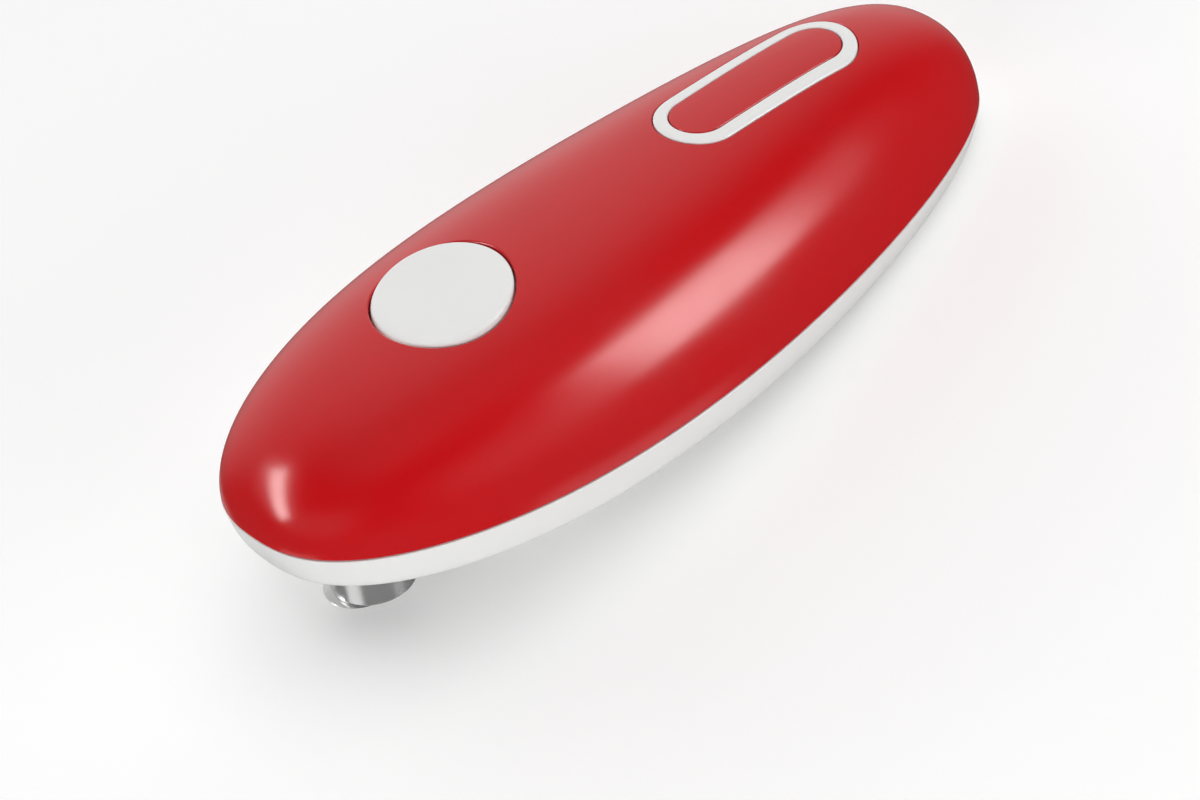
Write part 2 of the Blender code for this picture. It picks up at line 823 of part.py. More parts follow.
def make_drive_wheel(steel):
    """Toothed wheel that turns the can by its rim."""
    points = []
    for i in range(DRIVE_WHEEL_TEETH):
        a = 2 * pi * i / DRIVE_WHEEL_TEETH
        b = a + 0.38 * 2 * pi / DRIVE_WHEEL_TEETH
        c = a + 0.5 * 2 * pi / DRIVE_WHEEL_TEETH
        for angle, depth in ((a, DRIVE_TOOTH_DEPTH), (b, 0.0), (c, 0.0)):
            radius = DRIVE_WHEEL_RADIUS - depth
            points.append((DRIVE_AT[0] + radius * cos(angle), DRIVE_AT[1] + radius * sin(angle)))
    bore_low, bore_high = circle(DRIVE_AT, 2.7, -6.9, 14), circle(DRIVE_AT, 2.7, -3.8, 14)
    loops = [bore_low, at_height(points, -6.9), at_height(points, -3.8), bore_high]
    skin("drive_wheel", loops, steel, (*DRIVE_AT, -5.4), ring=True)


# ---------------------------------------------------------------- gear train


def train_centres():
    """Axes from the drive shaft back to the motor."""
    step = TRAIN_MODULE * (PINION_TEETH + WHEEL_TEETH) / 2
    centres = [DRIVE_AT]
    for bearing in TRAIN_BEARINGS:
        x, y = centres[-1]
        centres.append((x + step * cos(radians(bearing)), y + step * sin(radians(bearing))))
    return centres


def pinion_outline(centre, phase):
    return gear_outline(centre, PINION_TEETH, TRAIN_MODULE, TRAIN_SHIFT, phase)


def wheel_outline(centre, phase):
    return gear_outline(centre, WHEEL_TEETH, TRAIN_MODULE, -TRAIN_SHIFT, phase)


def bored(outline, centre, bore, z0, z1):
    """Rings of a flat outline with a round hole through it."""
    low, high = circle(centre, bore, z0, 12), circle(centre, bore, z1, 12)
    return [low, at_height(outline, z0), at_height(outline, z1), high]


def make_gears(nylon, brass, steel):
    centres = train_centres()
    motor_at = centres[-1]
    motor_teeth = pinion_outline(motor_at, 0.0)
    skin(
        "motor_pinion",
        bored(motor_teeth, motor_at, 1.25, 11.0, 14.4),
        brass,
        (*motor_at, 11.0),
        ring=True,
    )
    behind, phase = motor_at, 0.0
    base = 11.5
    for number, centre in ((1, centres[3]), (2, centres[2]), (3, centres[1])):
        wheel_phase = mating_phase(behind, PINION_TEETH, phase, centre, WHEEL_TEETH)
        wheel, pinion = wheel_outline(centre, wheel_phase), pinion_outline(centre, 0.0)
        step = base + WHEEL_THICKNESS
        loops = [
            circle(centre, GEAR_BORE, base, 12),
            at_height(wheel, base),
            at_height(wheel, step),
            at_height(pinion, step),
            at_height(pinion, step + PINION_LENGTH),
            circle(centre, GEAR_BORE, step + PINION_LENGTH, 12),
        ]
        skin(f"gear_{number}", loops, nylon, (*centre, base), ring=True)
        axle = turned(centre, ((1.0, 8.3), (AXLE_RADIUS, 8.6), (AXLE_RADIUS, 27.5), (1.0, 27.8)), 12)
        skin(f"axle_{number}", axle, steel)
        behind, phase = centre, 0.0
        base += 3.0
    wheel_phase = mating_phase(behind, PINION_TEETH, phase, DRIVE_AT, WHEEL_TEETH)
    output = wheel_outline(DRIVE_AT, wheel_phase)
    skin("output_gear", bored(output, DRIVE_AT, 2.7, 21.0, 24.0), nylon, (*DRIVE_AT, 21.0), ring=True)

    swing = gear_outline(DRIVE_AT, SWING_TEETH, SWING_MODULE, 0.0, 0.0)
    skin("swing_gear", bored(swing, DRIVE_AT, 2.75, 13.8, 16.3), nylon, (*DRIVE_AT, 13.8), ring=True)
    hub_phase = mating_phase(DRIVE_AT, SWING_TEETH, 0.0, HUB_AT, HUB_TEETH)
    hub = gear_outline(HUB_AT, HUB_TEETH, SWING_MODULE, 0.0, hub_phase)
    skin("cutter_hub_gear", bored(hub, HUB_AT, 3.8, 13.8, 16.3), brass, (*HUB_AT, 13.8), ring=True)


def make_gearbox(grey, steel):
    centres = train_centres()
    motor_at = centres[-1]
    around = [(at, 5.0) for at in POSTS_AT]
    lower = hull(around + [(at, 4.0) for at in BRACKET_POSTS_AT] + [(DRIVE_AT, 6.0)])
    plate = skin("gearbox_lower_plate", [at_height(lower, z) for z in LOWER_PLATE], grey)
    low, high = LOWER_PLATE[0] - 2.0, LOWER_PLATE[1] + 2.0
    holes = [turned(HUB_AT, ((12.6, low), (12.6, high)), 24)]
    holes += [turned(DRIVE_AT, ((2.9, low), (2.9, high)), 20)]
    holes += [turned(at, ((1.5, low), (1.5, high)), 12) for at in centres[1:4]]
    holes += [turned(at, ((1.6, low), (1.6, high)), 10) for at in POSTS_AT]
    holes += [turned(at, ((4.6, low), (4.6, high)), 16) for at in SCREWS_AT]
    boolean(plate, skins("lower_plate_holes", holes, None), "DIFFERENCE")

    upper = hull(around + [(centres[3], 4.0), (DRIVE_AT, 6.0)])
    plate = skin("gearbox_upper_plate", [at_height(upper, z) for z in UPPER_PLATE], grey)
    posts = [turned(at, ((3.2, LOWER_PLATE[1] + FIT_GAP), (3.2, 27.0)), 14) for at in POSTS_AT]
    pegs_at = [(x, y) for x in (44.0, 66.0) for y in (-7.5, 7.5)]
    pegs = [turned(at, ((1.8, 27.0), (1.8, BOARD[0] - FIT_GAP)), 10) for at in pegs_at]
    boolean(plate, skins("upper_plate_posts", posts + pegs, None), "UNION")
    holes = [turned(DRIVE_AT, ((2.8, 24.5), (2.8, 29.5)), 20)]
    holes += [turned(motor_at, ((10.8, 24.0), (10.8, 30.0)), 24)]
    holes += [turned(at, ((1.5, 24.5), (1.5, 29.5)), 12) for at in centres[1:4]]
    holes += [turned(at, ((1.6, 8.0), (1.6, 30.0)), 10) for at in POSTS_AT]
    holes += [turned(at, ((4.1, 24.5), (4.1, 29.5)), 16) for at in SCREWS_AT]
    boolean(plate, skins("upper_plate_holes", holes, None), "DIFFERENCE")
    for number, at in enumerate(POSTS_AT, 1):
        screw(f"gearbox_screw_{number}", at, 29.9, 5.7, 2.6, 1.25, steel)


def make_motor(steel, black, grey):
    centres = train_centres()
    at, beside = centres[-1], centres[3]
    flats = can_outline(at)
    line = atan2(beside[1] - at[1], beside[0] - at[0])
    angles = (line + pi / 2, line - pi / 2)
    screws_at = [(at[0] + 8.0 * cos(angle), at[1] + 8.0 * sin(angle)) for angle in angles]
    can = skin("motor_can", [at_height(flats, MOTOR_BOTTOM), at_height(flats, MOTOR_TOP)], steel)
    bores = [turned(at, ((1.3, MOTOR_BOTTOM - 1.0), (1.3, MOTOR_TOP - 5.0)), 14)]
    screw_bore = ((1.05, MOTOR_BOTTOM - 1.0), (1.05, MOTOR_BOTTOM + 2.4))
    bores += [turned(spot, screw_bore, 10) for spot in screws_at]
    boolean(can, skins("motor_can_holes", bores, None), "DIFFERENCE")
    cap_top = MOTOR_TOP + 2.6
    cap = [at_height(can_outline(at, 0.3), z) for z in (MOTOR_TOP + FIT_GAP, cap_top)]
    cap += turned(at, ((3.2, cap_top), (3.2, cap_top + 1.4)), 20)
    skin("motor_end_cap", cap, black)
    shaft = turned(at, ((0.8, 10.7), (1.0, 10.9), (1.0, MOTOR_TOP - 5.5)), 12)
    skin("motor_shaft", shaft, steel, (*at, 10.7))

    outline = rounded_box(at[0] - 10.4, 99.0, 12.4, 3.0, 2)
    bracket = skin("motor_bracket", [at_height(outline, BRACKET[0]), at_height(outline, BRACKET[1])], grey)
    posts = [turned(spot, ((2.0, LOWER_PLATE[1] + FIT_GAP), (2.0, 15.3)), 10) for spot in BRACKET_POSTS_AT]
    boolean(bracket, skins("bracket_posts", posts, None), "UNION")
    holes = [turned(at, ((5.0, 13.0), (5.0, 17.0)), 20), turned(beside, ((5.0, 13.0), (5.0, 17.0)), 20)]
    holes += [turned(spot, ((1.15, 13.0), (1.15, 17.0)), 10) for spot in screws_at]
    boolean(bracket, skins("bracket_holes", holes, None), "DIFFERENCE")
    for number, spot in enumerate(screws_at, 1):
        screw(f"motor_screw_{number}", spot, 13.2, MOTOR_BOTTOM + 2.2, 1.7, 0.85, steel, 1.1)


def can_outline(centre, inset=0.0):
    """Round can with two flats."""
    radius, flat = MOTOR_RADIUS - inset, MOTOR_FLAT - inset
    edge = acos(flat / radius)
    points = []
    for side in (0.0, pi):
        for i in range(9):
            angle = side - (pi / 2 - edge) + (pi - 2 * edge) * i / 8
            points.append((centre[0] + radius * cos(angle), centre[1] + radius * sin(angle)))
    return points


# ---------------------------------------------------------------- switch, board and leads


def make_switch(green, black, blue, steel, red_wire, black_wire):
    board = rounded_box(42.0, 68.0, 9.8, 1.5, 2)
    skin("control_board", [at_height(board, BOARD[0]), at_height(board, BOARD[1])], green)
    x, y = BUTTON_AT
    body = rounded_box(x - 6.0, x + 6.0, 6.0, 0.8, 2)
    rim, well = SWITCH_TOP + 0.8, SWITCH_TOP - BUTTON_TRAVEL
    profile = ((3.6, SWITCH_TOP), (3.6, rim), (PLUNGER_BORE, rim), (PLUNGER_BORE, well))
    collar = turned(BUTTON_AT, profile, 16)
    loops = [at_height(body, BOARD[1] + FIT_GAP), at_height(body, SWITCH_TOP)] + collar
    skin("switch_body", loops, black)
    roof = button_face() - BUTTON_ROOF
    stem = roof - STEM_LENGTH
    foot = SWITCH_TOP + 0.4
    plunger = turned(BUTTON_AT, ((2.0, foot), (2.0, stem - 0.6), (1.7, stem - FIT_GAP)), 14)
    skin("switch_plunger", plunger, blue, (x, y, foot))
    low = BOARD[1] + 0.8
    length = roof - BUTTON_SLOPE * SPRING_RADIUS - 0.6 - low
    helix = coil((x, y, low), "z", SPRING_RADIUS, SPRING_RADIUS, length, 3, 12)
    tube("button_spring", helix, 0.4, steel, 4, (x, y, low))
    front = BAY[0] - 1.1
    for name, side, look in (("lead_red", 1, red_wire), ("lead_black", -1, black_wire)):
        corners = (
            (front, side * 8.0, 20.0),
            (front - 0.4, side * 11.5, 25.0),
            (96.0, side * 14.5, 31.0),
            (86.0, side * 15.5, 34.0),
            (76.0, side * 12.0, 33.8),
            (68.8, side * 6.0, 33.4),
        )
        tube(name, smooth_path(corners, 2), 0.75, look, 5)


# ---------------------------------------------------------------- battery bay


def make_battery_bay(grey, steel, wrap):
    front, rear = BAY
    outer = rounded_box(front, rear, BAY_HALF_WIDTH, 1.2, 2)
    inner = rounded_box(front + 1.2, rear - 1.2, BAY_HALF_WIDTH - BAY_WALL, 0.6, 2)
    loops = [at_height(inner, 8.4), at_height(outer, 8.4), at_height(outer, 31.0), at_height(inner, 31.0)]
    skin("battery_cradle", loops, grey, ring=True)
    low, high = CELL_ROWS_Z
    plate_front, plate_rear = front + 1.4, rear - 1.4
    cells = (
        (1, CELL_Y, low, -1),
        (2, CELL_Y, high, 1),
        (3, -CELL_Y, high, -1),
        (4, -CELL_Y, low, 1),
    )
    for number, y, z, plus in cells:
        nub = plate_front + 0.7 if plus < 0 else plate_rear - 0.7
        end = nub - plus * CELL_LENGTH
        profile = (
            (CELL_RADIUS - 0.5, end),
            (CELL_RADIUS, end + plus * 0.5),
            (CELL_RADIUS, nub - plus * 2.2),
            (CELL_RADIUS - 0.6, nub - plus * 1.5),
            (2.75, nub - plus * 1.5),
            (2.6, nub),
        )
        skin(f"battery_cell_{number}", turned_along_x((end, y, z), profile, 14), wrap)
        spring_start = end - plus * 0.55
        plate = plate_rear - 0.7 if plus < 0 else plate_front + 0.7
        length = plate - spring_start
        path = coil((spring_start, y, z), "x", 2.4, 4.2, 0.88 * length, 2, 9)
        tube(f"contact_spring_{number}", path, 0.28, steel, 4)
    tab = 5.0
    for y, name in ((CELL_Y, "contact_positive"), (-CELL_Y, "contact_negative")):
        plate = box_loops(plate_front, plate_front + 0.4, tab, low - tab, low + tab, 0.15, y)
        skin(name, plate, steel)
    skin(
        "contact_front_link",
        box_loops(plate_front, plate_front + 0.4, CELL_Y + tab, high - tab, high + 3.0, 0.15),
        steel,
    )
    for y, name in ((CELL_Y, "contact_rear_left"), (-CELL_Y, "contact_rear_right")):
        skin(name, box_loops(plate_rear - 0.4, plate_rear, tab, low - tab, high + 3.0, 0.15, y), steel)


# ---------------------------------------------------------------- assembly


def clear_scene():
    for obj in list(bpy.data.objects):
        bpy.data.objects.remove(obj, do_unlink=True)


def main():
    clear_scene()
    red = material("red_gloss", (0.50, 0.008, 0.012), 0.0, 0.22)
    white = material("white_plastic", (0.80, 0.80, 0.79), 0.0, 0.35)
    chrome = material("chrome", (0.78, 0.79, 0.80), 1.0, 0.12)
    steel = material("steel", (0.58, 0.58, 0.57), 1.0, 0.32)
    bronze = material("bronze", (0.55, 0.38, 0.20), 1.0, 0.4)
    brass = material("brass", (0.72, 0.55, 0.26), 1.0, 0.3)
    nylon = material("nylon", (0.83, 0.82, 0.76), 0.0, 0.45)
    grey = material("grey_plastic", (0.20, 0.20, 0.21), 0.0, 0.5)
    black = material("black_plastic", (0.03, 0.03, 0.03), 0.0, 0.45)
    blue = material("blue_plastic", (0.05, 0.12, 0.35), 0.0, 0.4)
    green = material("board_green", (0.03, 0.16, 0.07), 0.0, 0.4)
    red_wire = material("red_wire", (0.55, 0.02, 0.02), 0.0, 0.45)
    black_wire = material("black_wire", (0.02, 0.02, 0.02), 0.0, 0.5)
    wrap = material("cell_wrap", (0.05, 0.09, 0.12), 0.2, 0.35)

    core = inner_core("inner_core")
    make_upper_shell(red, core)
    make_base_shell(white, core)
    ring_body("inlay_ring", white, 0.0, RING_DEPTH, RING_PROUD)
    make_button(white)
    make_battery_door(white)
    make_cutting_head(chrome, steel, bronze)
    make_gears(nylon, brass, steel)
    make_gearbox(grey, steel)
    make_motor(steel, black, grey)
    make_switch(green, black, blue, steel, red_wire, black_wire)
    make_battery_bay(grey, steel, wrap)
    for number, at in enumerate(SCREWS_AT, 1):
        seat = screw_seat(at)
        screw(f"housing_screw_{number}", at, seat - 0.3 - 1.6, 25.0, 2.6, 1.35, steel)


main()
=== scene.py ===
"""Looks of a cordless can opener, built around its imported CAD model.

Shapes are worked out in millimetres in the opener's own axes: x from the nose tip to the handle
end, y across, z up with the seam plane level. place() turns them into metres in the CAD frame.
"""

import json
from math import cos, pi, radians, sin, sqrt, tan

import bmesh
import bpy
import numpy as np
from mathutils import Matrix, Quaternion, Vector
from mathutils.geometry import tessellate_polygon


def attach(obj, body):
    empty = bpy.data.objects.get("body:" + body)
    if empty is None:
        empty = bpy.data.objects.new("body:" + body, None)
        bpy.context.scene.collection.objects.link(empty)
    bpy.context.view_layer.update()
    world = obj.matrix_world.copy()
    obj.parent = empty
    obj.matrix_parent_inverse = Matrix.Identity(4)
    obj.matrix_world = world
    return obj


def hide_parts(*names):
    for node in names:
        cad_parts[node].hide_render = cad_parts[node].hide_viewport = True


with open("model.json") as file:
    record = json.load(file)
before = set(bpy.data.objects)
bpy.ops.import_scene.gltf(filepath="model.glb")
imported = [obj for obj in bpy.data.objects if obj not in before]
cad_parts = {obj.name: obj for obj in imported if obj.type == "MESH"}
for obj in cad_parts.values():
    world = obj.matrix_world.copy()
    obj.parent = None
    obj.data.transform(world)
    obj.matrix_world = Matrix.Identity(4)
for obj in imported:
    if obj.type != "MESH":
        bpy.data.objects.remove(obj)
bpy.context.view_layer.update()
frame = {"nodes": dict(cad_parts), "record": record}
nodes = frame["nodes"]

MM = 0.001

# Body. t runs from -1 at the nose tip to +1 at the handle end.
LENGTH = 195.0
HALF_WIDTH = 36.49
WIDTH_TERMS = (1.0, -0.2002, -0.0334, 0.0581)
WIDTH_POWER = 0.798
SEAM_TERMS = (12.0, -1.263, 4.739)
CREST_HEIGHT = 34.11
CREST_TERMS = (1.0, 0.0247, 0.2663, 0.2102)
CREST_POWER = 0.967
DOME_ACROSS = 2.236
DOME_UP = 2.075
FLOOR_MID = 1.5
FLOOR_RISE = 6.65
SKIRT_INSET = 8.14
SKIRT_ACROSS = 5.16
SKIRT_DOWN = 1.03
LOWEST = -8.6

# Shells
WALL = 2.2
FIT_GAP = 0.3
SEAM_GAP = 0.3
LIP_FACE = 1.0
TONGUE_FACE = 1.25
REBATE_HEIGHT = 1.95
TONGUE_HEIGHT = 1.6
SEAM_EDGE = 0.3
ROWS = 220
COLUMNS = 128

RIBS_AT = (114.0, 147.0)
RIB_THICKNESS = 1.6
RIB_HALF_WIDTH = 21.0
RIB_FROM = 37.4
SCREWS_AT = ((42.0, 23.0), (42.0, -23.0), (169.5, 0.0))
SCREW_SEAT = 4.0
SCREW_HEAD_HEIGHT = 1.6
SCREW_SHANK = 1.35
BOSS_TOP = 13.0
BOSS_RADIUS = 4.2
POST_RADIUS = 3.6
PILOT_RADIUS = 1.65
PLATE_POSTS_AT = ((29.0, 12.0), (50.5, -16.5), (61.0, 19.5), (77.0, -14.5))
PLATE_POST_RADIUS = 3.4
PLATE_POST_TOP = 7.7
DOOR = (101.3, 159.7)
DOOR_HALF_WIDTH = 15.6
DOOR_CORNER = 4.0

# Button and inlaid ring
BUTTON_AT = (55.0, 0.0)
BUTTON_RADIUS = 14.5
BUTTON_DROP = 0.75
BUTTON_SLOPE = 0.12
BUTTON_SKIRT = 5.8
BUTTON_WALL = 1.6
BUTTON_ROOF = 2.5
BUTTON_FLANGE = (1.3, 1.1)
BUTTON_EDGE = 0.75
STEM_LENGTH = 2.8
BUTTON_HOLE_RADIUS = 14.9
BUTTON_LIP = 0.5
RING_AT = 140.7
RING_LENGTH = 50.5
RING_WIDTH = 19.0
RING_BAND = 3.0
RING_GAP = 0.22

# Cutting head and magnet
HUB_AT = (22.6, -4.4)
DRIVE_AT = (39.6, -4.4)
MAGNET_AT = (66.0, -4.4)
DRUM_RADIUS = 9.0
DRUM_BOTTOM = -6.0
CUTTER_OFFSET = 3.0
CUTTER_REST_ANGLE = 150.0
MAGNET_RADIUS = 9.6
MAGNET_FACE = -7.0

# Mesh tolerances, in metres, and the step of numerical derivatives
WELD = 2e-7
SHELL_WELD = 1e-7
TINY_EDGE = 5e-8
STEP = 1e-4


# ---------------------------------------------------------------- mesh helpers


def place(points):
    """Design points in millimetres to metres in the CAD frame."""
    return (np.asarray(points, float) - (LENGTH / 2, 0.0, LOWEST)) * MM


def mesh_object(name, verts, faces, sharp):
    mesh = bpy.data.meshes.new(name)
    mesh.from_pydata([tuple(v) for v in verts], [], [tuple(f) for f in faces])
    obj = bpy.data.objects.new(name, mesh)
    bpy.context.scene.collection.objects.link(obj)
    tidy(obj, sharp)
    return obj


def tidy(obj, sharp, merge=WELD):
    """Welds, turns the faces outwards and sets smooth shading with sharp edges by angle."""
    bm = bmesh.new()
    bm.from_mesh(obj.data)
    bmesh.ops.remove_doubles(bm, verts=bm.verts, dist=merge)
    bmesh.ops.dissolve_degenerate(bm, edges=bm.edges, dist=TINY_EDGE)
    bmesh.ops.recalc_face_normals(bm, faces=bm.faces)
    for face in bm.faces:
        face.smooth = True
    bm.to_mesh(obj.data)
    bm.free()
    obj.data.set_sharp_from_angle(angle=radians(sharp))


class Skin:
    """Collects closed bodies made of rings of design points."""

    def __init__(self):
        self.verts = []
        self.faces = []

    def ring(self, loop):
        """Adds the points of one ring and returns their numbers."""
        start = len(self.verts)
        self.verts.extend(place(loop))
        return list(range(start, start + len(loop)))

    def bridge(self, low, high):
        """Faces between two rings: quads, or triangles where their counts differ."""
        if len(low) == len(high):
            for i in range(len(low)):
                j = (i + 1) % len(low)
                self.faces.append((low[i], low[j], high[j], high[i]))
            return
        both = low + high
        loops = [[Vector(self.verts[i]) / MM for i in ring] for ring in (low, high)]
        for corners in tessellate_polygon(loops):
            self.faces.append([both[i] for i in corners])

    def body(self, loops, closed=False):
        """A solid through a row of rings, capped at its ends or closed into a loop."""
        rings = [self.ring(loop) for loop in loops]
        for low, high in zip(rings, rings[1:]):
            self.bridge(low, high)
        if closed:
            self.bridge(rings[-1], rings[0])
        else:
            self.faces.append(rings[0][::-1])
            self.faces.append(rings[-1])
        return self

    def grid(self, points):
        """A sheet of quads through an array of points, rows by columns."""
        rows, columns, _ = points.shape
        start = len(self.verts)
        self.verts.extend(place(points.reshape(-1, 3)))
        for i in range(rows - 1):
            for j in range(columns - 1):
                a = start + i * columns + j
                self.faces.append((a, a + 1, a + columns + 1, a + columns))

    def done(self, name, sharp=32.0):
        return mesh_object(name, self.verts, self.faces, sharp)


def circle(centre, radius, z, count=64):
    angles = np.arange(count) * 2 * pi / count
    x, y = centre[0] + radius * np.cos(angles), centre[1] + radius * np.sin(angles)
    return np.stack((x, y, np.full(count, float(z))), 1)


def turned(centre, profile, count=64):
    """Rings about a vertical axis, for a profile of (radius, z)."""
    return [circle(centre, radius, z, count) for radius, z in profile]


def rounded(profile, cuts, steps=4):
    """A profile with its corners rounded: cuts maps a corner's index to its radius."""
    out = []
    for i, corner in enumerate(profile):
        if i not in cuts:
            out.append(tuple(corner))
            continue
        p = np.array(corner, float)
        a, b = np.array(profile[i - 1], float) - p, np.array(profile[i + 1], float) - p
        a, b = a / np.linalg.norm(a), b / np.linalg.norm(b)
        half = np.arccos(np.clip(a.dot(b), -1, 1)) / 2
        reach = cuts[i] / tan(half)
        centre = p + (a + b) / np.linalg.norm(a + b) * cuts[i] / sin(half)
        first, last = p + a * reach - centre, p + b * reach - centre
        for k in range(steps + 1):
            u = k / steps
            mixed = first * (1 - u) + last * u
            out.append(tuple(centre + mixed / np.linalg.norm(mixed) * cuts[i]))
    return out


def at_height(outline, z):
    return [(x, y, z) for x, y in outline]


def rounded_box(x0, x1, half_y, corner, per_corner=10):
    """Outline of a rectangle with rounded corners, centred on y = 0."""
    points = []
    corners = (
        (x1 - corner, half_y - corner, 0.0),
        (x0 + corner, half_y - corner, 90.0),
        (x0 + corner, corner - half_y, 180.0),
        (x1 - corner, corner - half_y, 270.0),
    )
    for x, y, start in corners:
        for i in range(per_corner + 1):
            angle = radians(start + 90.0 * i / per_corner)
            points.append((x + corner * cos(angle), y + corner * sin(angle)))
    return points


def boolean(target, cutter, operation="DIFFERENCE"):
    """Applies a Boolean and removes the cutter, with EXACT where MANIFOLD changes nothing."""
    modifier = target.modifiers.new("cut", "BOOLEAN")
    modifier.object = cutter
    modifier.operation = operation
    modifier.solver = "MANIFOLD"
    graph = bpy.context.evaluated_depsgraph_get()
    graph.update()
    result = bpy.data.meshes.new_from_object(target.evaluated_get(graph))
    if not result.polygons or len(result.vertices) == len(target.data.vertices):
        modifier.solver = "EXACT"
        graph.update()
        result = bpy.data.meshes.new_from_object(target.evaluated_get(graph))
    target.modifiers.clear()
    target.data = result
    bpy.data.objects.remove(cutter)


# ---------------------------------------------------------------- body surfaces


def terms(values, t):
    """Polynomial in t with the given coefficients, the constant first."""
    return sum(value * t**power for power, value in enumerate(values))


def station(theta):
    """(x, half width, seam height, crest above the seam, floor height) along the body."""
    t = -np.cos(theta)
    s = np.clip(np.sin(theta), 0.0, None)
    half = HALF_WIDTH * s**WIDTH_POWER * terms(WIDTH_TERMS, t)
    crest = CREST_HEIGHT * s**CREST_POWER * terms(CREST_TERMS, t)
    return LENGTH / 2 * (1 + t), half, terms(SEAM_TERMS, t), crest, FLOOR_MID + FLOOR_RISE * t * t


def at_x(x):
    """The same five measures at a distance from the nose tip."""
    return station(np.arccos(np.clip(1 - 2 * np.asarray(x, float) / LENGTH, -1, 1)))


def plan_normal(theta):
    """Outward normal of the seam outline, seen from above, on the +y side."""
    ahead, behind = station(theta + STEP), station(theta - STEP)
    along, out = ahead[0] - behind[0], ahead[1] - behind[1]
    size = np.hypot(along, out)
    nx, ny = -out / size, along / size
    nx = np.where(theta < STEP, -1.0, np.where(theta > pi - STEP, 1.0, nx))
    ny = np.where((theta < STEP) | (theta > pi - STEP), 0.0, ny)
    return nx, ny


def dome_height(x, y):
    """Height of the upper surface over a point of the plan."""
    _, half, seam, crest, _ = at_x(x)
    inside = np.clip(1 - np.abs(np.asarray(y) / half) ** DOME_ACROSS, 0, None)
    return seam + crest * inside ** (1 / DOME_UP)


def dome_level(points):
    """Zero on the upper surface, below zero inside."""
    _, half, seam, crest, _ = at_x(points[..., 0])
    up = np.clip(points[..., 2] - seam, 0, None) / np.maximum(crest, 1e-6)
    across = np.abs(points[..., 1]) / np.maximum(half, 1e-6)
    return across**DOME_ACROSS + up**DOME_UP - 1


def dome_normal(points):
    """Unit normal of the upper surface at design points on it."""
    points = np.array(points, float)
    points[..., 0] = np.clip(points[..., 0], 0.05, LENGTH - 0.05)
    step = 0.01
    steps = step * np.eye(3)
    gradient = np.stack([dome_level(points + s) - dome_level(points - s) for s in steps], -1)
    return gradient / np.maximum(np.linalg.norm(gradient, axis=-1, keepdims=True), 1e-9)


def dome_grid(inset, rows, columns):
    """Points of the upper surface moved inwards, from the +y seam over the crest to -y."""
    theta = np.linspace(0, pi, rows + 1)[:, None]
    psi = np.linspace(0, pi, columns + 1)[None, :]
    x, half, seam, crest, _ = station(theta)
    across = np.abs(np.cos(psi)) ** (2 / DOME_ACROSS) * np.sign(np.cos(psi))
    up = np.clip(np.sin(psi), 0, None) ** (2 / DOME_UP)
    grid = np.stack(np.broadcast_arrays(x, half * across, seam + crest * up), -1)
    if not inset:
        return grid
    normal = dome_normal(grid)
    nx, ny = plan_normal(theta[:, 0])
    for column, side in ((0, 1), (columns, -1)):
        normal[:, column] = np.stack((nx, side * ny, np.zeros_like(nx)), -1)
    normal[0], normal[-1] = (-1, 0, 0), (1, 0, 0)
    return grid - inset * normal


def seam_loop(inset, lift, rows):
    """The seam outline, moved inwards and up, once around from the front tip."""
    theta = np.linspace(0, pi, rows + 1)
    x, half, seam, _, _ = station(theta)
    nx, ny = plan_normal(theta)
    side = np.stack((x - inset * nx, half - inset * ny, seam + lift), -1)
    return np.concatenate((side, side[-2:0:-1] * (1, -1, 1)))


def seam_heights():
    """Seam height at each row of a shell's grid, as a column."""
    return station(np.linspace(0, pi, ROWS + 1))[2][:, None]


def edge_rounding(radius, lift, direction):
    """(inset, lift) pairs round the outer edge beside the seam."""
    steps = [radians(a) for a in (22.5, 45.0, 67.5, 90.0)]
    return [(radius * (1 - cos(a)), lift + direction * radius * (1 - sin(a))) for a in steps]


def close_at_seam(skin, lift, towards, face, height):
    """Joins a shell's two skins: rounded outer edge, flat lip, then the tongue or its rebate."""
    rim = [(0.0, lift + towards * SEAM_EDGE)] + edge_rounding(SEAM_EDGE, lift, towards)
    rim += [(face, lift), (face, height), (WALL, height)]
    rings = [skin.ring(seam_loop(*corner, ROWS)) for corner in rim]
    for low, high in zip(rings, rings[1:]):
        skin.bridge(low, high)


def skirt_stations():
    """Angles down the skirt's section, closest together round its lower corner."""
    fine = [radians(a) for a in (0, 4, 8, 13, 18, 24, 30, 36)]
    share = np.linspace(cos(fine[-1]) ** (2 / SKIRT_ACROSS), 0, 16)[1:]
    return np.array(fine + [np.arccos(w ** (SKIRT_ACROSS / 2)) for w in share])


def skirt_grid(inset, rows):
    """Points of the lower surface moved inwards, from the +y seam across the floor to -y."""
    theta = np.linspace(0, pi, rows + 1)[:, None]
    s = skirt_stations()[None, :]
    x, half, seam, _, floor = station(theta)
    nx, ny = plan_normal(theta)

    def section(angle):
        side = SKIRT_INSET * (1 - np.cos(angle) ** (2 / SKIRT_ACROSS))
        return side, (seam - floor) * np.sin(angle) ** (2 / SKIRT_DOWN)

    side, down = section(s)
    grid = np.stack(np.broadcast_arrays(x - side * nx, half - side * ny, seam - down), -1)
    if inset:
        low, high = section(np.clip(s - STEP, 0, None)), section(np.clip(s + STEP, None, pi / 2))
        inward, lower = high[0] - low[0], high[1] - low[1]
        size = np.hypot(inward, lower)
        parts = nx * lower / size, ny * lower / size, -inward / size
        normal = np.stack(np.broadcast_arrays(*parts), -1)
        normal[:, 0] = np.stack((nx[:, 0], ny[:, 0], np.zeros_like(nx[:, 0])), -1)
        normal[:, -1] = (0, 0, -1)
        grid = grid - inset * normal
    return np.concatenate((grid, grid[:, ::-1] * (1, -1, 1)), 1)


# ---------------------------------------------------------------- materials


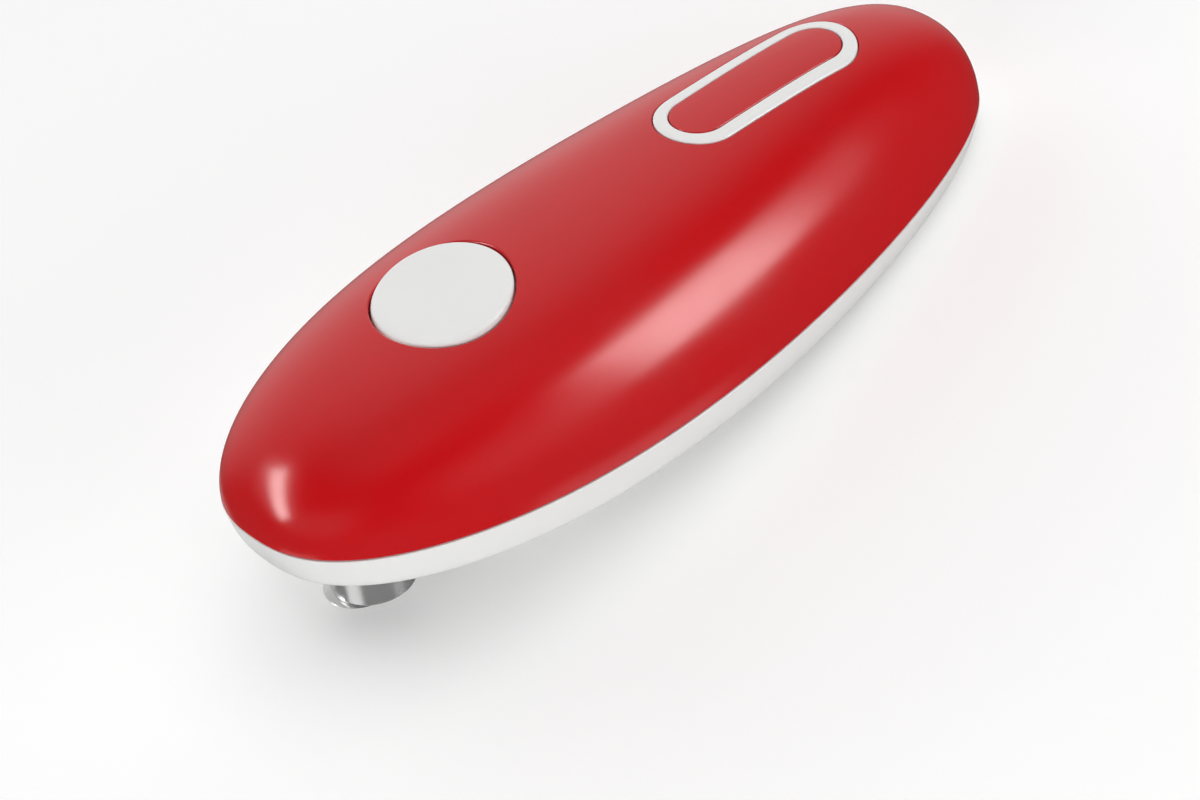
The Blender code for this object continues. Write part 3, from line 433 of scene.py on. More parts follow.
class Look:
    """Builds one procedural material on a Principled shader."""

    def __init__(self, name, colour, metallic, roughness, **sockets):
        self.material = bpy.data.materials.new(name)
        self.material.use_nodes = True
        self.tree = self.material.node_tree
        self.nodes, self.links = self.tree.nodes, self.tree.links
        self.shader = self.nodes["Principled BSDF"]
        self.colour = colour
        self.shader.inputs["Base Color"].default_value = (*colour, 1.0)
        self.shader.inputs["Metallic"].default_value = metallic
        self.shader.inputs["Roughness"].default_value = roughness
        for key, value in sockets.items():
            self.shader.inputs[key.replace("_", " ")].default_value = value
        self.coords = self.nodes.new("ShaderNodeTexCoord").outputs["Object"]

    def stretched(self, scale, turn=(0, 0, 0), offset=(0, 0, 0)):
        node = self.nodes.new("ShaderNodeMapping")
        node.inputs["Scale"].default_value = scale
        node.inputs["Rotation"].default_value = turn
        node.inputs["Location"].default_value = offset
        self.links.new(self.coords, node.inputs["Vector"])
        return node.outputs["Vector"]

    def noise(self, scale, detail=3.0, rough=0.5, vector=None):
        node = self.nodes.new("ShaderNodeTexNoise")
        node.inputs["Scale"].default_value = scale
        node.inputs["Detail"].default_value = detail
        node.inputs["Roughness"].default_value = rough
        self.links.new(vector or self.coords, node.inputs["Vector"])
        return node.outputs["Fac"]

    def span(self, value, low, high, to_low=0.0, to_high=1.0, smooth=True):
        """Maps the range from low to high to another range."""
        node = self.nodes.new("ShaderNodeMapRange")
        node.interpolation_type = "SMOOTHSTEP" if smooth else "LINEAR"
        for socket, number in zip(node.inputs[1:5], (low, high, to_low, to_high)):
            socket.default_value = number
        self.links.new(value, node.inputs["Value"])
        return node.outputs["Result"]

    def sums(self, a, b, operation="ADD"):
        """Clamped arithmetic on two outputs, or on an output and a number."""
        node = self.nodes.new("ShaderNodeMath")
        node.operation = operation
        node.use_clamp = True
        for socket, value in zip(node.inputs, (a, b)):
            if isinstance(value, float):
                socket.default_value = value
            else:
                self.links.new(value, socket)
        return node.outputs["Value"]

    def tint(self, mask, colour, strength):
        """Lays another colour over the base colour where the mask is high."""
        node = self.nodes.new("ShaderNodeMix")
        node.data_type = "RGBA"
        factor, under, over = node.inputs[0], node.inputs[6], node.inputs[7]
        under.default_value = (*self.colour, 1.0)
        over.default_value = (*colour, 1.0)
        self.links.new(self.sums(mask, strength, "MULTIPLY"), factor)
        self.links.new(node.outputs[2], self.shader.inputs["Base Color"])

    def rough(self, mask, low, high):
        """Runs the roughness from low to high with the mask."""
        self.links.new(self.span(mask, 0.0, 1.0, low, high, False), self.shader.inputs["Roughness"])

    def bump(self, height, depth, strength):
        node = self.nodes.new("ShaderNodeBump")
        node.inputs["Strength"].default_value = strength
        node.inputs["Distance"].default_value = depth
        self.links.new(height, node.inputs["Height"])
        self.links.new(node.outputs["Normal"], self.shader.inputs["Normal"])


SCRATCH_STRETCH = 28
METAL_SHARE = 0.8


def scratches(look, scale, threshold, turns):
    """Mask of fine scratches that run in a few directions."""
    total = None
    along = scale / SCRATCH_STRETCH
    for i, turn in enumerate(turns):
        offset = (7.0 * i, 3.0 * i, 0.0)
        vector = look.stretched((scale, along, along), (0.3 * i, 0.2, turn), offset)
        mask = look.span(look.noise(1.0, 2.0, 0.5, vector), threshold, threshold + 0.05)
        total = mask if total is None else look.sums(total, mask, "MAXIMUM")
    return total


def glossy_plastic(name, colour, roughness, shade, wear):
    """Polished moulding: slow drift in colour and gloss, faint scratches and a soft ripple."""
    look = Look(name, colour, 0.0, roughness)
    broad = look.noise(38.0, 3.0, 0.55)
    fine = look.noise(900.0, 4.0, 0.6)
    marks = scratches(look, 900.0, wear, (0.2, 1.3, 2.5))
    look.tint(look.span(broad, 0.35, 0.7), shade, 0.5)
    film = look.sums(look.span(broad, 0.3, 0.75, 0.15, 0.6), look.span(fine, 0.4, 0.8, 0.0, 0.25))
    film = look.sums(film, look.sums(marks, 0.12, "MULTIPLY"))
    look.rough(film, roughness * 0.85, roughness * 1.35)
    look.bump(look.noise(260.0, 2.0, 0.5), 0.000006, 0.3)
    return look.material


def moulded_plastic(name, colour, roughness, shade, grain=1600.0, depth=0.00002):
    """Matt moulding with a fine grain."""
    look = Look(name, colour, 0.0, roughness)
    broad = look.noise(60.0, 3.0, 0.55)
    look.tint(look.span(broad, 0.35, 0.7), shade, 0.6)
    fine = look.noise(grain, 3.0, 0.6)
    film = look.sums(look.span(broad, 0.3, 0.7, 0.0, 0.5), look.span(fine, 0.3, 0.7, 0.0, 0.5))
    look.rough(film, roughness * 0.8, roughness * 1.3)
    look.bump(fine, depth, 0.5)
    return look.material


def metal(name, colour, roughness, shade, brush=(1, 1, 30), brush_scale=400.0, depth=0.0000008):
    """Satin metal with a grain stretched across the brush direction, and faint scratches."""
    look = Look(name, colour, METAL_SHARE, roughness)
    broad = look.noise(90.0, 4.0, 0.6)
    grain = look.noise(brush_scale, 3.0, 0.6, look.stretched(brush))
    marks = scratches(look, 700.0, 0.68, (0.5, 2.1))
    look.tint(look.span(broad, 0.4, 0.75), shade, 0.4)
    film = look.sums(look.span(broad, 0.3, 0.7, 0.0, 0.45), look.span(grain, 0.35, 0.7, 0.0, 0.3))
    film = look.sums(film, look.sums(marks, 0.1, "MULTIPLY"))
    look.rough(film, roughness * 0.85, roughness * 1.25)
    look.bump(grain, depth, 0.4)
    return look.material


RED = (0.565, 0.0020, 0.0050)
WHITE = (0.85, 0.85, 0.84)

looks = {
    "red_gloss": glossy_plastic("red_gloss", RED, 0.21, (0.53, 0.0018, 0.0045), 0.70),
    "white_plastic": glossy_plastic("white_plastic", WHITE, 0.30, (0.825, 0.822, 0.808), 0.71),
    "chrome": metal("chrome", (0.78, 0.785, 0.78), 0.25, (0.72, 0.72, 0.71), (1, 1, 40), 300.0),
    "cutter_steel": metal(
        "cutter_steel", (0.66, 0.66, 0.655), 0.22, (0.56, 0.56, 0.55), (60, 60, 4), 60.0
    ),
    "steel": metal("steel", (0.56, 0.555, 0.545), 0.34, (0.46, 0.45, 0.44), (4, 4, 40), 220.0),
    "magnet_plate": metal(
        "magnet_plate", (0.62, 0.615, 0.60), 0.24, (0.58, 0.57, 0.56), (1, 30, 1), 500.0
    ),
    "bronze": metal("bronze", (0.42, 0.24, 0.11), 0.42, (0.30, 0.17, 0.08), (3, 3, 3), 500.0),
    "brass": metal("brass", (0.72, 0.50, 0.20), 0.28, (0.58, 0.39, 0.15), (3, 3, 30), 260.0),
    "nylon": moulded_plastic("nylon", (0.78, 0.76, 0.68), 0.42, (0.70, 0.67, 0.58)),
    "grey_plastic": moulded_plastic(
        "grey_plastic", (0.20, 0.205, 0.21), 0.5, (0.16, 0.165, 0.17)
    ),
    "black_plastic": moulded_plastic(
        "black_plastic", (0.02, 0.02, 0.021), 0.45, (0.035, 0.035, 0.036)
    ),
    "blue_plastic": moulded_plastic("blue_plastic", (0.03, 0.12, 0.42), 0.4, (0.025, 0.10, 0.35)),
    "board_green": moulded_plastic(
        "board_green", (0.02, 0.15, 0.06), 0.35, (0.015, 0.11, 0.045), 700.0
    ),
    "red_wire": moulded_plastic("red_wire", (0.50, 0.01, 0.01), 0.42, (0.42, 0.008, 0.008)),
    "black_wire": moulded_plastic(
        "black_wire", (0.012, 0.012, 0.012), 0.42, (0.025, 0.025, 0.025)
    ),
    "cell_wrap": glossy_plastic(
        "cell_wrap", (0.04, 0.09, 0.20), 0.28, (0.035, 0.075, 0.17), 0.72
    ),
}


def dress(obj, slot, body, *replaced):
    """Gives a new piece its material and the body it rides on, and hides the CAD nodes that it
    stands for.
    """
    obj.data.materials.clear()
    obj.data.materials.append(looks[slot])
    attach(obj, body)
    if replaced:
        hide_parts(*replaced)
    return obj


# ---------------------------------------------------------------- camera, lights and floor


CAMERA_AT = (-0.457145, -0.631155, 0.649698)
CAMERA_RIGHT = (0.7359, -0.6630, -0.1376)
CAMERA_UP = (0.5114, 0.4111, 0.7546)
CAMERA_LENS = 146.7
SENSOR_WIDTH = 36.0


def add_camera():
    """Camera at the photograph's viewing angle, with its axes made square to each other."""
    data = bpy.data.cameras.new("view")
    data.sensor_width = SENSOR_WIDTH
    data.lens = CAMERA_LENS
    camera = bpy.data.objects.new("view", data)
    right, up = Vector(CAMERA_RIGHT), Vector(CAMERA_UP)
    back = right.cross(up).normalized()
    up = back.cross(right).normalized()
    right = up.cross(back)
    turned_by = Matrix((right, up, back)).transposed().to_4x4()
    camera.matrix_world = Matrix.Translation(CAMERA_AT) @ turned_by
    bpy.context.scene.collection.objects.link(camera)
    bpy.context.scene.camera = camera


LIGHTS_AIM_Z = 0.03
WORLD_BRIGHTEST = (60.0, 30.0)
WORLD_COSINES = (0.33, 1.05)
WORLD_STRENGTHS = (0.07, 1.0)
FLOOR_SLOPE = 0.1266
FLOOR_CONTACT = (-0.0219, 0.0, 0.0016)
FLOOR_HALF = 8.0
FLOOR_WHITE = (0.92, 0.92, 0.92)
FLOOR_SHADE = (0.90, 0.90, 0.90)
FLOOR_GLOW = 0.14

# Name, azimuth, elevation, distance, (width, height), radiance, what sees it, roll. The two lights
# make the opener's highlights, the fills light its colours, and the cards show in its lower metal.
LIGHTS = (
    ("key_light", -56.0, 21.0, 1.0, (0.29, 0.50), 9.6, "glossy"),
    ("nose_light", 155.0, 25.0, 1.0, (0.19, 0.68), 12.8, "glossy", 48.0),
    ("top_fill", -90.0, 80.0, 1.1, (1.2, 1.2), 1.35, "diffuse"),
    ("front_fill", -75.0, 14.0, 1.3, (1.3, 0.6), 2.6, "diffuse"),
    ("nose_fill", -165.0, 12.0, 1.3, (1.3, 0.6), 2.7, "diffuse"),
    ("back_fill", 100.0, 16.0, 1.3, (1.3, 0.6), 1.6, "diffuse"),
    ("tail_fill", 10.0, 16.0, 1.3, (1.0, 0.6), 1.4, "diffuse"),
    ("low_card_left", 176.0, -40.0, 1.0, (0.50, 0.30), 1.15, "glossy"),
    ("low_card_right", -66.0, -40.0, 1.0, (0.42, 0.28), 0.95, "glossy"),
    ("low_card_back", 98.0, -40.0, 1.0, (0.40, 0.30), 0.45, "glossy"),
    ("ground_glow", 0.0, -90.0, 1.0, (0.9, 0.9), 0.4, "glossy"),
)


def direction(azimuth, elevation):
    a, e = radians(azimuth), radians(elevation)
    return Vector((cos(e) * cos(a), cos(e) * sin(a), sin(e)))


def softbox(name, azimuth, elevation, distance, size, radiance, seen_by, roll=0.0):
    """Area light facing the opener, seen by mirror reflections or by diffuse surfaces only."""
    data = bpy.data.lights.new(name, "AREA")
    data.shape = "RECTANGLE"
    data.size, data.size_y = size
    data.energy = radiance * pi * size[0] * size[1]
    light = bpy.data.objects.new(name, data)
    towards = direction(azimuth, elevation)
    light.location = towards * distance + Vector((0, 0, LIGHTS_AIM_Z))
    turned_by = Quaternion((0.0, 0.0, 1.0), radians(roll))
    light.rotation_euler = (towards.to_track_quat("Z", "Y") @ turned_by).to_euler()
    light.visible_glossy = seen_by == "glossy"
    light.visible_diffuse = seen_by == "diffuse"
    light.visible_camera = False
    bpy.context.scene.collection.objects.link(light)


def add_world():
    """Pale studio walls: brightest behind the object, darker in front of it and overhead."""
    world = bpy.data.worlds.new("studio")
    bpy.context.scene.world = world
    world.use_nodes = True
    tree = world.node_tree
    background = tree.nodes["Background"]
    coords = tree.nodes.new("ShaderNodeTexCoord")
    dot = tree.nodes.new("ShaderNodeVectorMath")
    dot.operation = "DOT_PRODUCT"
    dot.inputs[1].default_value = direction(*WORLD_BRIGHTEST)
    tree.links.new(coords.outputs["Generated"], dot.inputs[0])
    span = tree.nodes.new("ShaderNodeMapRange")
    span.interpolation_type = "SMOOTHSTEP"
    for socket, number in zip(span.inputs[1:5], (*WORLD_COSINES, *WORLD_STRENGTHS)):
        socket.default_value = number
    tree.links.new(dot.outputs["Value"], span.inputs["Value"])
    tree.links.new(span.outputs["Result"], background.inputs["Strength"])
    background.inputs["Color"].default_value = (1.0, 1.0, 1.0, 1.0)


def add_floor():
    """Pale floor under the opener as it lies, on its magnet and the end of its base.

    Mirror reflections don't show it: in the photograph they show a dark can there.
    """
    contact_x, _, contact_z = FLOOR_CONTACT
    corners = [
        (x, y, contact_z + FLOOR_SLOPE * (x - contact_x))
        for x, y in (
            (-FLOOR_HALF, -FLOOR_HALF),
            (FLOOR_HALF, -FLOOR_HALF),
            (FLOOR_HALF, FLOOR_HALF),
            (-FLOOR_HALF, FLOOR_HALF),
        )
    ]
    mesh = bpy.data.meshes.new("floor")
    mesh.from_pydata(corners, [], [(0, 1, 2, 3)])
    floor = bpy.data.objects.new("floor", mesh)
    bpy.context.scene.collection.objects.link(floor)
    glow = {"Emission_Color": (1, 1, 1, 1), "Emission_Strength": FLOOR_GLOW}
    look = Look("floor_paint", FLOOR_WHITE, 0.0, 0.6, **glow)
    look.tint(look.span(look.noise(6.0, 3.0), 0.3, 0.7), FLOOR_SHADE, 0.5)
    look.bump(look.noise(500.0, 2.0), 0.00005, 0.2)
    mesh.materials.append(look.material)
    floor.visible_glossy = False


bpy.context.scene.view_settings.view_transform = "Standard"
add_camera()
add_world()
for light in LIGHTS:
    softbox(*light)
add_floor()


# ---------------------------------------------------------------- upper shell


def ring_outline(grow, count=48, along=24):
    """Racetrack outline grown by an amount from the inlay's outer edge."""
    radius = RING_WIDTH / 2 + grow
    straight = (RING_LENGTH - RING_WIDTH) / 2
    points = []
    for side in (1, -1):
        for i in range(count + 1):
            angle = pi / 2 - pi * i / count if side > 0 else -pi / 2 - pi * i / count
            points.append((RING_AT + side * straight + radius * cos(angle), radius * sin(angle)))
        for i in range(1, along):
            share = i / along
            points.append((RING_AT + side * straight * (1 - 2 * share), -side * radius))
    return np.array(points)


def on_dome(outline, lift):
    """Puts a plan outline on the upper surface, raised by an amount."""
    outline = np.asarray(outline)
    return np.column_stack((outline, dome_height(outline[:, 0], outline[:, 1]) + lift))


def rib_reach(x):
    """How far a rib goes to each side before the shell comes down to its lower edge."""
    _, half, seam, crest, _ = at_x(x)
    share = (RIB_FROM + WALL / 2 + 0.3 - seam) / crest
    return min(RIB_HALF_WIDTH, float(half * (1 - share**DOME_UP) ** (1 / DOME_ACROSS)))


def make_upper_shell():
    """Red dome with its posts and ribs, pilot holes, button hole and ring groove."""
    skin = Skin()
    lift = SEAM_GAP / 2
    outer = dome_grid(0.0, ROWS, COLUMNS)
    seam = seam_heights()
    outer[..., 2] = np.maximum(outer[..., 2], seam + lift + SEAM_EDGE)
    inner = dome_grid(WALL, ROWS, COLUMNS)
    inner[..., 2] = np.maximum(inner[..., 2], seam + REBATE_HEIGHT)
    skin.grid(outer)
    skin.grid(inner[:, ::-1])
    close_at_seam(skin, lift, 1, LIP_FACE, REBATE_HEIGHT)
    shell = skin.done("upper_shell_moulding")
    boolean(shell, upper_posts_and_ribs(), "UNION")
    boolean(shell, upper_openings())
    finish_dome_shading(shell)
    return dress(shell, "red_gloss", "housing", "upper_shell")


def upper_posts_and_ribs():
    """Screw posts and cross ribs that stand inside the dome."""
    inside = Skin()
    for at in SCREWS_AT:
        foot, top = circle(at, POST_RADIUS, BOSS_TOP + 0.4, 32), circle(at, POST_RADIUS, 0.0, 32)
        top[:, 2] = dome_height(top[:, 0], top[:, 1]) - WALL / 2
        inside.body([foot, top])
    for x in RIBS_AT:
        ends = (x, x + RIB_THICKNESS)
        reach = min(rib_reach(end) for end in ends)
        y = np.linspace(reach, -reach, 24)
        outlines = []
        for end in ends:
            crown = dome_height(np.full(24, end), y) - WALL / 2
            low = [(end, -reach, RIB_FROM), (end, reach, RIB_FROM)]
            outlines.append(low + [(end, v, z) for v, z in zip(y, crown)])
        inside.body(outlines)
    return inside.done("inside_bosses")


def upper_openings():
    """Cutters for the pilot holes, the button's hole with its rounded lip and the ring's groove."""
    cutter = Skin()
    for at in SCREWS_AT:
        cutter.body(turned(at, ((PILOT_RADIUS, BOSS_TOP - 2.0), (PILOT_RADIUS, 26.0)), 24))
    hole = [circle(BUTTON_AT, BUTTON_HOLE_RADIUS, dome_height(*BUTTON_AT) - 12.0, 128)]
    for angle in (0, 15, 30, 45, 60, 72):
        a = radians(angle)
        loop = circle(BUTTON_AT, BUTTON_HOLE_RADIUS + BUTTON_LIP * (1 - cos(a)), 0.0, 128)
        loop[:, 2] = dome_height(loop[:, 0], loop[:, 1]) - BUTTON_LIP * (1 - sin(a))
        hole.append(loop)
    for out, up in ((0.6, 0.12), (1.8, 4.0)):
        loop = circle(BUTTON_AT, BUTTON_HOLE_RADIUS + BUTTON_LIP + out, 0.0, 128)
        loop[:, 2] = dome_height(loop[:, 0], loop[:, 1]) + up
        hole.append(loop)
    cutter.body(hole)
    section = ((0.0, -1.3), (0.0, -0.22), (0.05, -0.09), (0.14, 0.02), (0.6, 2.5))
    section = [(RING_GAP + out, up) for out, up in section]
    outward = [on_dome(ring_outline(out), up) for out, up in section]
    inward = [on_dome(ring_outline(-RING_BAND - out), up) for out, up in section]
    cutter.body(inward[::-1] + outward, closed=True)
    return cutter.done("openings")


def finish_dome_shading(obj):
    """Gives corners that lie on the outer surface that surface's own normals."""
    tidy(obj, 30.0, SHELL_WELD)
    mesh = obj.data
    count = len(mesh.loops)
    normals = np.empty(count * 3, np.float32)
    mesh.corner_normals.foreach_get("vector", normals)
    normals = normals.reshape(-1, 3).astype(float)
    of_vertex = np.empty(count, np.int32)
    mesh.loops.foreach_get("vertex_index", of_vertex)
    co = np.empty(len(mesh.vertices) * 3, np.float32)
    mesh.vertices.foreach_get("co", co)
    points = co.reshape(-1, 3).astype(float) / MM + (LENGTH / 2, 0.0, LOWEST)
    on_surface = np.abs(dome_level(points)) < 1.2e-3
    smooth = dome_normal(points)
    sizes = np.empty(len(mesh.polygons), np.int32)
    mesh.polygons.foreach_get("loop_total", sizes)
    face_of = np.repeat(np.arange(len(sizes)), sizes)
    face_normals = np.empty(len(sizes) * 3, np.float32)
    mesh.polygons.foreach_get("normal", face_normals)
    facing = (face_normals.reshape(-1, 3)[face_of] * smooth[of_vertex]).sum(1)
    seam = at_x(points[:, 0])[2]
    clear = (points[:, 2] > seam + SEAM_GAP / 2 + SEAM_EDGE + 0.05)[of_vertex]
    use = on_surface[of_vertex] & (facing > 0.97) & clear
    normals[use] = smooth[of_vertex][use]
    mesh.normals_split_custom_set(normals.tolist())


make_upper_shell()


# ---------------------------------------------------------------- inlay ring and button


def make_inlay_ring():
    """Thin racetrack band with a rounded top, standing a little out of its groove."""
    section = ((0.0, -0.95), (0.0, -0.12), (0.06, 0.04), (0.2, 0.15), (0.45, 0.22))
    section += ((1.0, 0.27), (1.5, 0.28))
    section += tuple((RING_BAND - o, z) for o, z in reversed(section[:-1]))
    loops = [on_dome(ring_outline(-o), z) for o, z in section]
    ring = Skin().body(loops, closed=True).done("inlay_ring_moulding", 50.0)
    return dress(ring, "white_plastic", "housing", "inlay_ring")


def make_button():
    """Flat cap with a rounded rim, a stop flange and a hollow underside with its stem."""
    top = float(dome_height(*BUTTON_AT)) - BUTTON_DROP
    roof, skirt, face = top - BUTTON_ROOF, top - BUTTON_SKIRT, top - 0.02
    inside, flange = BUTTON_RADIUS - BUTTON_WALL, BUTTON_RADIUS + BUTTON_FLANGE[0]
    flange_top = skirt + BUTTON_FLANGE[1]
    profile = [(1.6, roof - STEM_LENGTH), (2.6, roof - STEM_LENGTH + 0.1), (2.6, roof)]
    profile += [(inside, roof), (inside, skirt), (flange, skirt), (flange, flange_top)]
    profile += [(BUTTON_RADIUS, flange_top), (BUTTON_RADIUS, top - BUTTON_EDGE)]
    for angle in (15, 30, 45, 60, 75, 90):
        a = radians(angle)
        inwards, down = BUTTON_EDGE * (1 - cos(a)), BUTTON_EDGE * (1 - sin(a))
        profile.append((BUTTON_RADIUS - inwards, top - down))
    profile += [(BUTTON_RADIUS - 1.4, top), (BUTTON_RADIUS - 3.0, face), (8.0, face), (3.0, face)]
    loops = turned(BUTTON_AT, profile, 128)
    for loop in loops:
        loop[:, 2] += BUTTON_SLOPE * (loop[:, 0] - BUTTON_AT[0])
    cap = Skin().body(loops).done("button_cap_moulding", 40.0)
    return dress(cap, "white_plastic", "button", "button_cap")


make_inlay_ring()
make_button()


# ---------------------------------------------------------------- base shell and door


def floor_height(x):
    return at_x(x)[4]


def make_base_shell():
    """White base with its bosses, bearing holes, magnet seat, screw holes and battery opening."""
    skin = Skin()
    drop = -SEAM_GAP / 2
    seam = seam_heights()
    outer = skirt_grid(0.0, ROWS)
    outer[..., 2] = np.minimum(outer[..., 2], seam + drop - SEAM_EDGE)
    inner = skirt_grid(WALL, ROWS)
    inner[:, 0, 2] = inner[:, -1, 2] = seam[:, 0] + TONGUE_HEIGHT
    skin.grid(outer)
    skin.grid(inner[:, ::-1])
    close_at_seam(skin, drop, -1, TONGUE_FACE, TONGUE_HEIGHT)
    shell = skin.done("base_shell_moulding")
    boolean(shell, base_bosses(), "UNION")
    boolean(shell, base_openings())
    tidy(shell, 30.0, SHELL_WELD)
    return dress(shell, "white_plastic", "housing", "base_shell")


def base_bosses():
    """Hub boss, screw bosses and plate posts inside, drive and magnet collars outside."""
    inside = Skin()
    bosses = [(HUB_AT, 12.2, 12.3)] + [(at, BOSS_RADIUS, BOSS_TOP) for at in SCREWS_AT]
    bosses += [(at, PLATE_POST_RADIUS, PLATE_POST_TOP) for at in PLATE_POSTS_AT]
    for at, radius, top in bosses:
        foot = circle(at, radius, 0.0, 48)
        foot[:, 2] = floor_height(foot[:, 0]) + WALL / 2
        inside.body([foot, circle(at, radius, top, 48)])
    for at, profile in (
        (DRIVE_AT, rounded(((6.4, -3.5), (7.0, -3.5), (7.0, 4.0)), {1: 0.45})),
        (MAGNET_AT, rounded(((11.6, -4.8), (12.5, -4.8), (12.5, 3.0)), {1: 0.6})),
    ):
        inside.body(turned(at, profile, 96))
    return inside.done("base_bosses")


def base_openings():
    """Cutters for the bearings, the magnet's seat, the screws and the battery opening."""
    cutter = Skin()
    hub = rounded(((9.35, -2.0), (9.35, 9.3), (11.25, 9.3), (11.25, 16.0)), {})
    cutter.body(turned(HUB_AT, hub, 96))
    cutter.body(turned(DRIVE_AT, ((4.3, -8.0), (4.3, 8.0)), 64))
    cutter.body(turned(MAGNET_AT, ((11.5, -8.0), (11.5, -4.9), (11.2, -4.5), (11.2, -1.6)), 96))
    for at in SCREWS_AT:
        seat = float(floor_height(at[0])) + SCREW_SEAT
        bore = ((3.6, seat - 6.0), (3.1, seat - 3.9), (3.1, seat), (1.7, seat), (1.7, 16.0))
        cutter.body(turned(at, bore, 40))
    for at in PLATE_POSTS_AT:
        cutter.body(turned(at, ((1.5, 5.4), (1.5, 9.0)), 24))
    width = DOOR_HALF_WIDTH + FIT_GAP
    opening = rounded_box(DOOR[0] - FIT_GAP, DOOR[1] + FIT_GAP, width, DOOR_CORNER)
    cutter.body([at_height(opening, -3.0), at_height(opening, 7.6)])
    return cutter.done("base_openings")


def make_battery_door():
    """Door panel that follows the base, with finger grooves near its free end."""
    centre_x = (DOOR[0] + DOOR[1]) / 2

    def loop(inset, lift, scale=1.0):
        width, corner = DOOR_HALF_WIDTH - inset, DOOR_CORNER - inset
        inner = np.array(rounded_box(DOOR[0] + inset, DOOR[1] - inset, width, corner, 12))
        inner = (inner - (centre_x, 0)) * scale + (centre_x, 0)
        return np.column_stack((inner, floor_height(inner[:, 0]) + lift))

    scales = (0.92, 0.84, 0.76, 0.68, 0.6, 0.52, 0.44, 0.36, 0.28, 0.2, 0.12, 0.04)
    under = [loop(0.35, 0.0, s) for s in reversed(scales)]
    corners = ((0.35, 0.0), (0.1, 0.1), (0.0, 0.35), (0.0, WALL - 0.2), (0.2, WALL))
    edge = [loop(*corner) for corner in corners]
    upper = [loop(0.2, WALL, s) for s in scales]
    door = Skin().body(under + edge + upper).done("battery_door_moulding")
    cutter = Skin()
    for i in range(4):
        x = DOOR[0] + 5.5 + 2.2 * i
        low = float(floor_height(x)) - 0.25
        rings = []
        for y in np.linspace(-6.5, 6.5, 15):
            shrink = sqrt(max(1 - (abs(y) / 6.6) ** 6, 0.02))
            arc = [radians(a) for a in range(0, 360, 30)]
            along, up = 0.62 * shrink, 0.85 * shrink
            rings.append([(x + along * cos(a), y, low + up * sin(a)) for a in arc])
        cutter.body(rings)
    boolean(door, cutter.done("door_grooves"))
    tidy(door, 30.0, SHELL_WELD)
    return dress(door, "white_plastic", "door", "battery_door")


make_base_shell()
make_battery_door()


# ---------------------------------------------------------------- cutting head and magnet


def cross_recess(centre, arm, width):
    """Outline of a cross slot."""
    cross = [(arm, -width), (arm, width), (width, width), (width, arm)]
    cross += [(-width, arm), (-width, width)]
    cross += [(-x, -y) for x, y in cross]
    return [(centre[0] + x, centre[1] + y) for x, y in cross]


def make_cutter_hub():
    """Turned drum with a stepped lower face, carried by its shaft."""
    eccentric = eccentric_point()
    drum = ((8.3, DRUM_BOTTOM), (DRUM_RADIUS, DRUM_BOTTOM), (DRUM_RADIUS, 12.6), (10.6, 12.6))
    drum += ((10.6, 13.4), (3.5, 13.4), (3.5, 17.6), (3.1, 18.0))
    drum = rounded(drum, {1: 0.55, 2: 0.08, 3: 0.15, 4: 0.15})
    threaded = turned(eccentric, ((1.75, 4.0), (1.75, DRUM_BOTTOM)), 96)
    hub = Skin().body(threaded + turned(HUB_AT, drum, 96)).done("cutter_hub_turning", 30.0)
    return dress(hub, "chrome", "hub", "cutter_hub")


def eccentric_point():
    """Where the cutter's screw stands under the drum, with the hub at rest."""
    angle = radians(CUTTER_REST_ANGLE)
    return HUB_AT[0] + CUTTER_OFFSET * cos(angle), HUB_AT[1] + CUTTER_OFFSET * sin(angle)


def make_cutter_wheel():
    """Disc with a bevelled cutting edge."""
    profile = ((2.1, -6.3), (5.2, -6.3), (5.7, -6.32), (7.46, -6.87), (7.5, -6.9))
    profile += ((7.46, -6.93), (5.7, -7.48), (5.2, -7.5), (2.3, -7.5), (2.1, -7.35))
    loops = turned(eccentric_point(), profile, 128)
    wheel = Skin().body(loops, closed=True).done("cutter_wheel_grinding", 12.0)
    return dress(wheel, "cutter_steel", "cutter", "cutter_wheel")


def make_cutter_screw():
    """Shoulder screw with a cross slot, the lowest point of the opener."""
    centre = eccentric_point()
    head = ((2.2, LOWEST), (2.7, LOWEST), (2.7, -7.8), (1.85, -7.8), (1.85, -6.15))
    head += ((1.45, -6.15), (1.45, 2.6))
    head = rounded(head, {1: 0.3}) + [(0.6, 3.4)]
    cross = cross_recess(centre, 1.7, 0.45)
    loops = [at_height(cross_recess(centre, 1.45, 0.32), -7.95), at_height(cross, LOWEST)]
    screw = Skin().body(loops + turned(centre, head, 48)).done("cutter_screw_turning", 30.0)
    return dress(screw, "steel", "hub", "cutter_screw")


def make_drive_screw():
    """Screw with a cross slot that holds the drive wheel on its shaft."""
    head = ((2.45, -8.2), (2.9, -8.2), (2.9, -7.25), (1.15, -7.25), (1.15, -3.7))
    head = rounded(head, {1: 0.3}) + [(0.4, -2.6)]
    loops = [at_height(cross_recess(DRIVE_AT, 1.5, 0.36), -7.65)]
    loops += [at_height(cross_recess(DRIVE_AT, 1.8, 0.46), -8.2)]
    screw = Skin().body(loops + turned(DRIVE_AT, head, 48)).done("drive_screw_turning", 30.0)
    return dress(screw, "steel", "drive", "drive_wheel_screw")


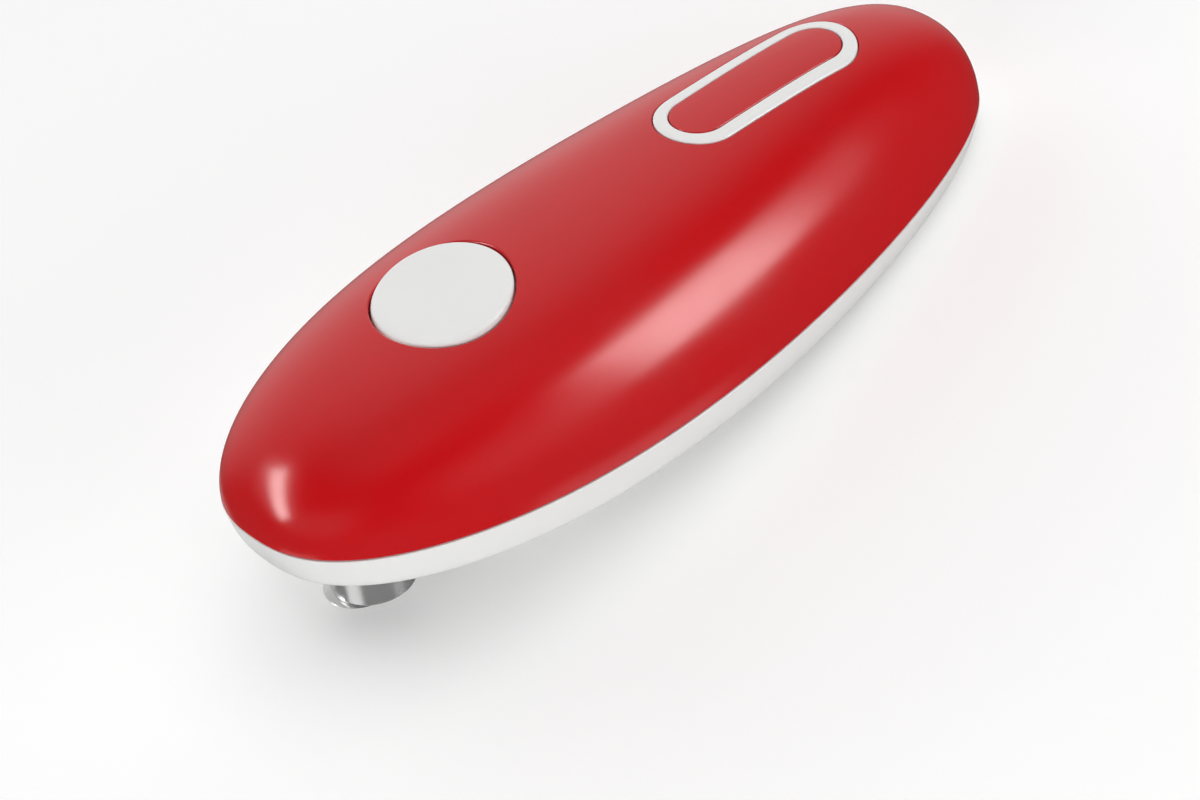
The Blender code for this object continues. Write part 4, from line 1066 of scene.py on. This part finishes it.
def make_magnet():
    """Flat magnet and the pressed rim round it."""
    side = ((9.0, MAGNET_FACE), (MAGNET_RADIUS, MAGNET_FACE), (MAGNET_RADIUS, -3.5))
    profile = rounded(side, {1: 0.35})
    centre = [(0.6, MAGNET_FACE), (4.0, MAGNET_FACE)]
    magnet = Skin().body(turned(MAGNET_AT, centre + profile, 96)).done("magnet_disc", 30.0)
    dress(magnet, "magnet_plate", "housing", "magnet")
    rim = ((9.9, -3.2), (9.9, -6.2), (10.9, -6.2), (10.9, -2.0))
    rim = rounded(rim, {1: 0.2, 2: 0.3})
    cup = Skin().body(turned(MAGNET_AT, rim, 96)).done("magnet_cup_pressing", 30.0)
    dress(cup, "steel", "housing", "magnet_cup")


def make_housing_screws():
    for number, at in enumerate(SCREWS_AT, 1):
        low = float(floor_height(at[0])) + SCREW_SEAT - FIT_GAP - SCREW_HEAD_HEIGHT
        under = low + SCREW_HEAD_HEIGHT
        head = ((2.2, low), (2.6, low), (2.6, under), (SCREW_SHANK, under), (SCREW_SHANK, 23.6))
        head = rounded(head, {1: 0.35}) + [(0.5, 25.0)]
        loops = [at_height(cross_recess(at, 1.3, 0.3), low + 1.0)]
        loops += [at_height(cross_recess(at, 1.6, 0.42), low)]
        screw = Skin().body(loops + turned(at, head, 40)).done(f"housing_screw_{number}_turning")
        dress(screw, "steel", "housing", f"housing_screw_{number}")


make_cutter_hub()
make_cutter_wheel()
make_cutter_screw()
make_drive_screw()
make_magnet()
make_housing_screws()


# ---------------------------------------------------------------- CAD nodes that keep their shape

record_slots = {part["node"]: part["material_slot"] for part in frame["record"]["subparts"]}
BEVEL = 0.08
BEVELS = {"drive_wheel": 0.10, "battery_cradle": 0.2, "swing_gear": 0.1, "output_gear": 0.1}
for name, node in sorted(nodes.items()):
    node.data.materials.clear()
    node.data.materials.append(looks[record_slots[name]])
    if node.hide_render:
        continue
    bevel = node.modifiers.new("edges", "BEVEL")
    bevel.width = BEVELS.get(name, BEVEL) * MM
    bevel.segments = 2
    bevel.limit_method = "ANGLE"
    bevel.angle_limit = radians(40.0)
    bevel.harden_normals = True
